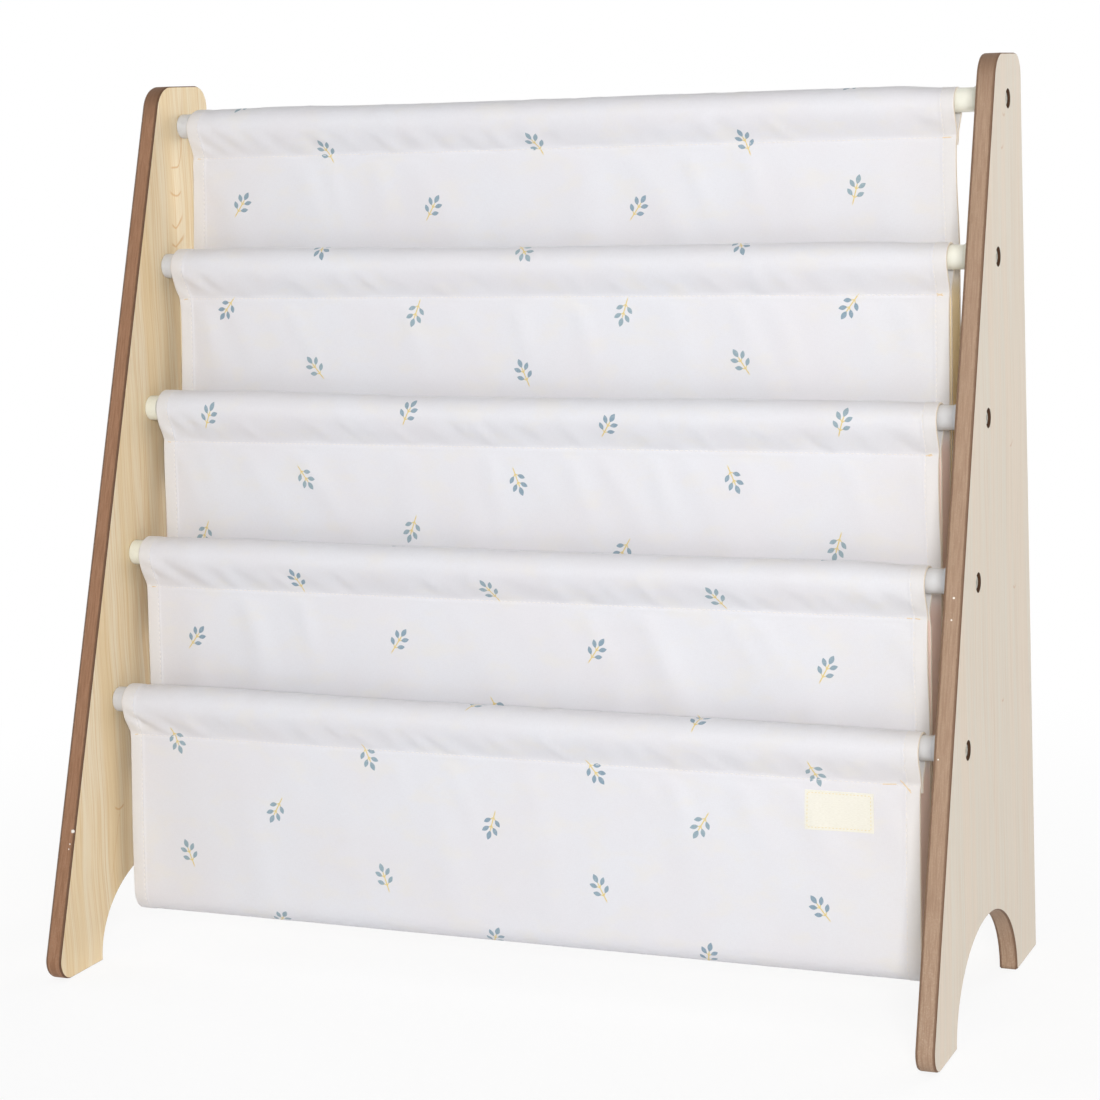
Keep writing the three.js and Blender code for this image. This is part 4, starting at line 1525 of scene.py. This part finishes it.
def make_label(cloth, tape, thread):
    """The bare woven label, sewn on round its border."""
    low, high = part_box("sewn_label")
    fall = rod_centre(ROD_COUNT)[1] - SEAM_DROP
    upright_share = math.cos(math.radians(HANGING_LEAN))
    left, right = (corner.x / MM - cloth.left for corner in (low, high))
    drops = ((fall - corner.z / MM) / upright_share for corner in (low, high))
    bottom, top = (cloth.seam_place(ROD_COUNT - 1, drop) for drop in drops)
    u, s = np.meshgrid(
        np.linspace(left, right, LABEL_COLUMNS + 1),
        np.linspace(bottom, top, LABEL_ROWS + 1),
    )
    under, normal = cloth.at("other", u.ravel(), s.ravel())
    from_edge = np.minimum(np.minimum(u - left, right - u), np.minimum(s - bottom, top - s)).ravel()
    swell = sum(height * smoothstep(from_edge, *span) for height, *span in (LABEL_CROWN, LABEL_EDGE))
    over = under + normal * (LABEL_THICKNESS + swell)[:, None]
    back = under + normal * LABEL_GAP
    i, j = grid_border(*u.shape)
    border = i * u.shape[1] + j
    after = np.roll(border, -1)
    faces = np.concatenate([
        grid_faces(*u.shape, 0, False),
        grid_faces(*u.shape, u.size, True),
        np.stack([border, border + u.size, after + u.size, after], axis=1),
    ]).tolist()
    points = np.concatenate([over, back])
    label = add_piece("blank_label", points, faces, [tape], ["sewn_label"])
    flat = np.stack([u.ravel(), s.ravel()], axis=1) * MM
    add_map(label, "flat_label", np.concatenate([flat, flat]))
    label.data.set_sharp_from_angle(angle=math.radians(LABEL_SHARP_ANGLE))

    left, right = left + LABEL_STITCH_INSET, right - LABEL_STITCH_INSET
    bottom, top = bottom + LABEL_STITCH_INSET, top - LABEL_STITCH_INSET
    corners = [(left, bottom), (right, bottom), (right, top), (left, top)]
    runs = []
    for start, end in zip(corners, corners[1:] + corners[:1]):
        centres, tangents, normals = stitched_run(cloth, "other", start, end, LABEL_STITCH_PITCH)
        runs.append((centres + normals * (LABEL_THICKNESS + LABEL_GAP), tangents, normals))
    radius = THREAD_RADIUS * LABEL_THREAD_SHARE
    stitches = add_stitches("label_stitching", runs, LABEL_STITCH_LENGTH, radius, thread)
    return [label, stitches]


# Floor, world and light


def make_floor():
    """A white floor that keeps the shadow near the bookshelf and fades to plain white far from it."""
    n = new_material("studio_floor")
    seen = n.seen()
    tone = n.mix(seen, srgb(*FLOOR_BOUNCE), srgb(*FLOOR_SEEN))
    n.finished(Base_Color=tone, Roughness=0.9, Specular_IOR_Level=0.1)
    distance = n.add("ShaderNodeVectorMath", {0: n.place()}, "Value", operation="LENGTH")
    far = n.ramp(distance, FLOOR_CLEAR_START, FLOOR_CLEAR_END, FLOOR_NEAR_SHARE, 1.0)
    white = n.add("ShaderNodeEmission", {"Color": WHITE, "Strength": 1.0})
    surfaces = {0: far * seen, 1: Value(n, n.shader.outputs[0]), 2: white}
    n.put(n.tree.nodes["Material Output"].inputs["Surface"], n.add("ShaderNodeMixShader", surfaces))
    points = []
    for step in range(FLOOR_SIDES):
        angle = step * 2 * math.pi / FLOOR_SIDES
        points.append((FLOOR_RADIUS * math.cos(angle), FLOOR_RADIUS * math.sin(angle), -FLOOR_DROP))
    mesh = bpy.data.meshes.new("studio_floor")
    mesh.from_pydata((np.array(points) * MM).tolist(), [], [list(range(FLOOR_SIDES))])
    mesh.materials.append(n.owner)
    floor = bpy.data.objects.new("studio_floor", mesh)
    bpy.context.scene.collection.objects.link(floor)


def make_world():
    """White to the eye, and soft plain light from all round."""
    world = bpy.data.worlds.new("studio")
    bpy.context.scene.world = world
    n = Nodes(world, "Background")
    n.finished(Color=WHITE, Strength=n.ramp(n.seen(), 0.0, 1.0, AMBIENT, 1.0, "LINEAR"))


def make_lamps():
    """Square soft lamps that face the bookshelf. The key lamp stands close to the camera's direction, so that
    little shade shows beside the cloth. Reflections leave the back lamp out, because it would mirror in the
    right panel's outer face alone."""
    for name, place, size, power in LAMPS:
        data = bpy.data.lights.new(name, "AREA")
        data.shape = "SQUARE"
        data.size = size * MM
        data.energy = power
        lamp = bpy.data.objects.new(name, data)
        lamp.visible_glossy = name != "back_lamp"
        back = unit(np.subtract(place, LAMP_TARGET))
        right = unit(np.cross((0.0, 0.0, 1.0), back))
        aim(lamp, right, np.cross(back, right), back, place)


# The bookshelf


def main():
    bpy.context.scene.view_settings.view_transform = "Standard"
    make_camera()
    make_world()
    make_lamps()
    make_floor()

    centres = [rod_centre(number) for number in range(1, ROD_COUNT + 1)]
    hole_wall_shade = shaded_hole_wall("bolt_hole_wall_shade")
    left_board = fibreboard("board_left", LEFT_BOARD, LEFT_CHIPS, LEFT_BOARD_SEED)
    right_board = fibreboard("board_right", RIGHT_BOARD, RIGHT_CHIPS, RIGHT_BOARD_SEED)
    maples = [maple(f"maple_{side}_{face}", *recipe) for side, face, *recipe in LAMINATES]
    make_panel("left", -1, centres, left_board, hole_wall_shade, *maples[:2])
    make_panel("right", 1, centres, right_board, hole_wall_shade, *maples[2:])

    cream_paint = painted_steel("cream_powder_coat", srgb(238, 239, 228), srgb(230, 231, 218))
    silver_paint = painted_steel("silver_powder_coat", srgb(212, 213, 216), srgb(204, 205, 208))
    cream = moulded_plastic("cream_plastic", srgb(233, 234, 222), srgb(222, 222, 208))
    grey = moulded_plastic("grey_plastic", srgb(210, 213, 219), srgb(198, 201, 207))
    metal = turned_metal("nickel_plate", srgb(205, 202, 192))
    brass = turned_metal("turned_brass", srgb(200, 172, 110))
    paints = (cream_paint, cream_paint, silver_paint, silver_paint, silver_paint)
    plastics = ((grey, cream), (grey, cream), (cream, grey), (cream, grey), (grey, grey))
    for index, centre in enumerate(centres):
        make_rod(index + 1, centre, paints[index], plastics[index], metal, brass)

    cloth = Cloth(centres)
    # Painted shade: a warmer tint on the cloth's rim stands for the shade along its edge.
    rim_shade = sewing_thread("folded_hem_edge_shade", srgb(229, 222, 213), srgb(221, 211, 199))
    sling = make_sling(cloth, sling_fabric("printed_sling_cloth", cloth.width), rim_shade)
    thread = sewing_thread("off_white_thread", srgb(232, 229, 226), srgb(226, 219, 211))
    tack_thread = sewing_thread("pale_orange_thread", srgb(232, 212, 176), srgb(225, 199, 158))
    label_thread = sewing_thread("label_thread", srgb(236, 222, 170), srgb(222, 204, 148))
    trimmings = make_stitching(cloth, thread, tack_thread)
    trimmings += make_label(cloth, label_fabric("label_tape"), label_thread)


main()
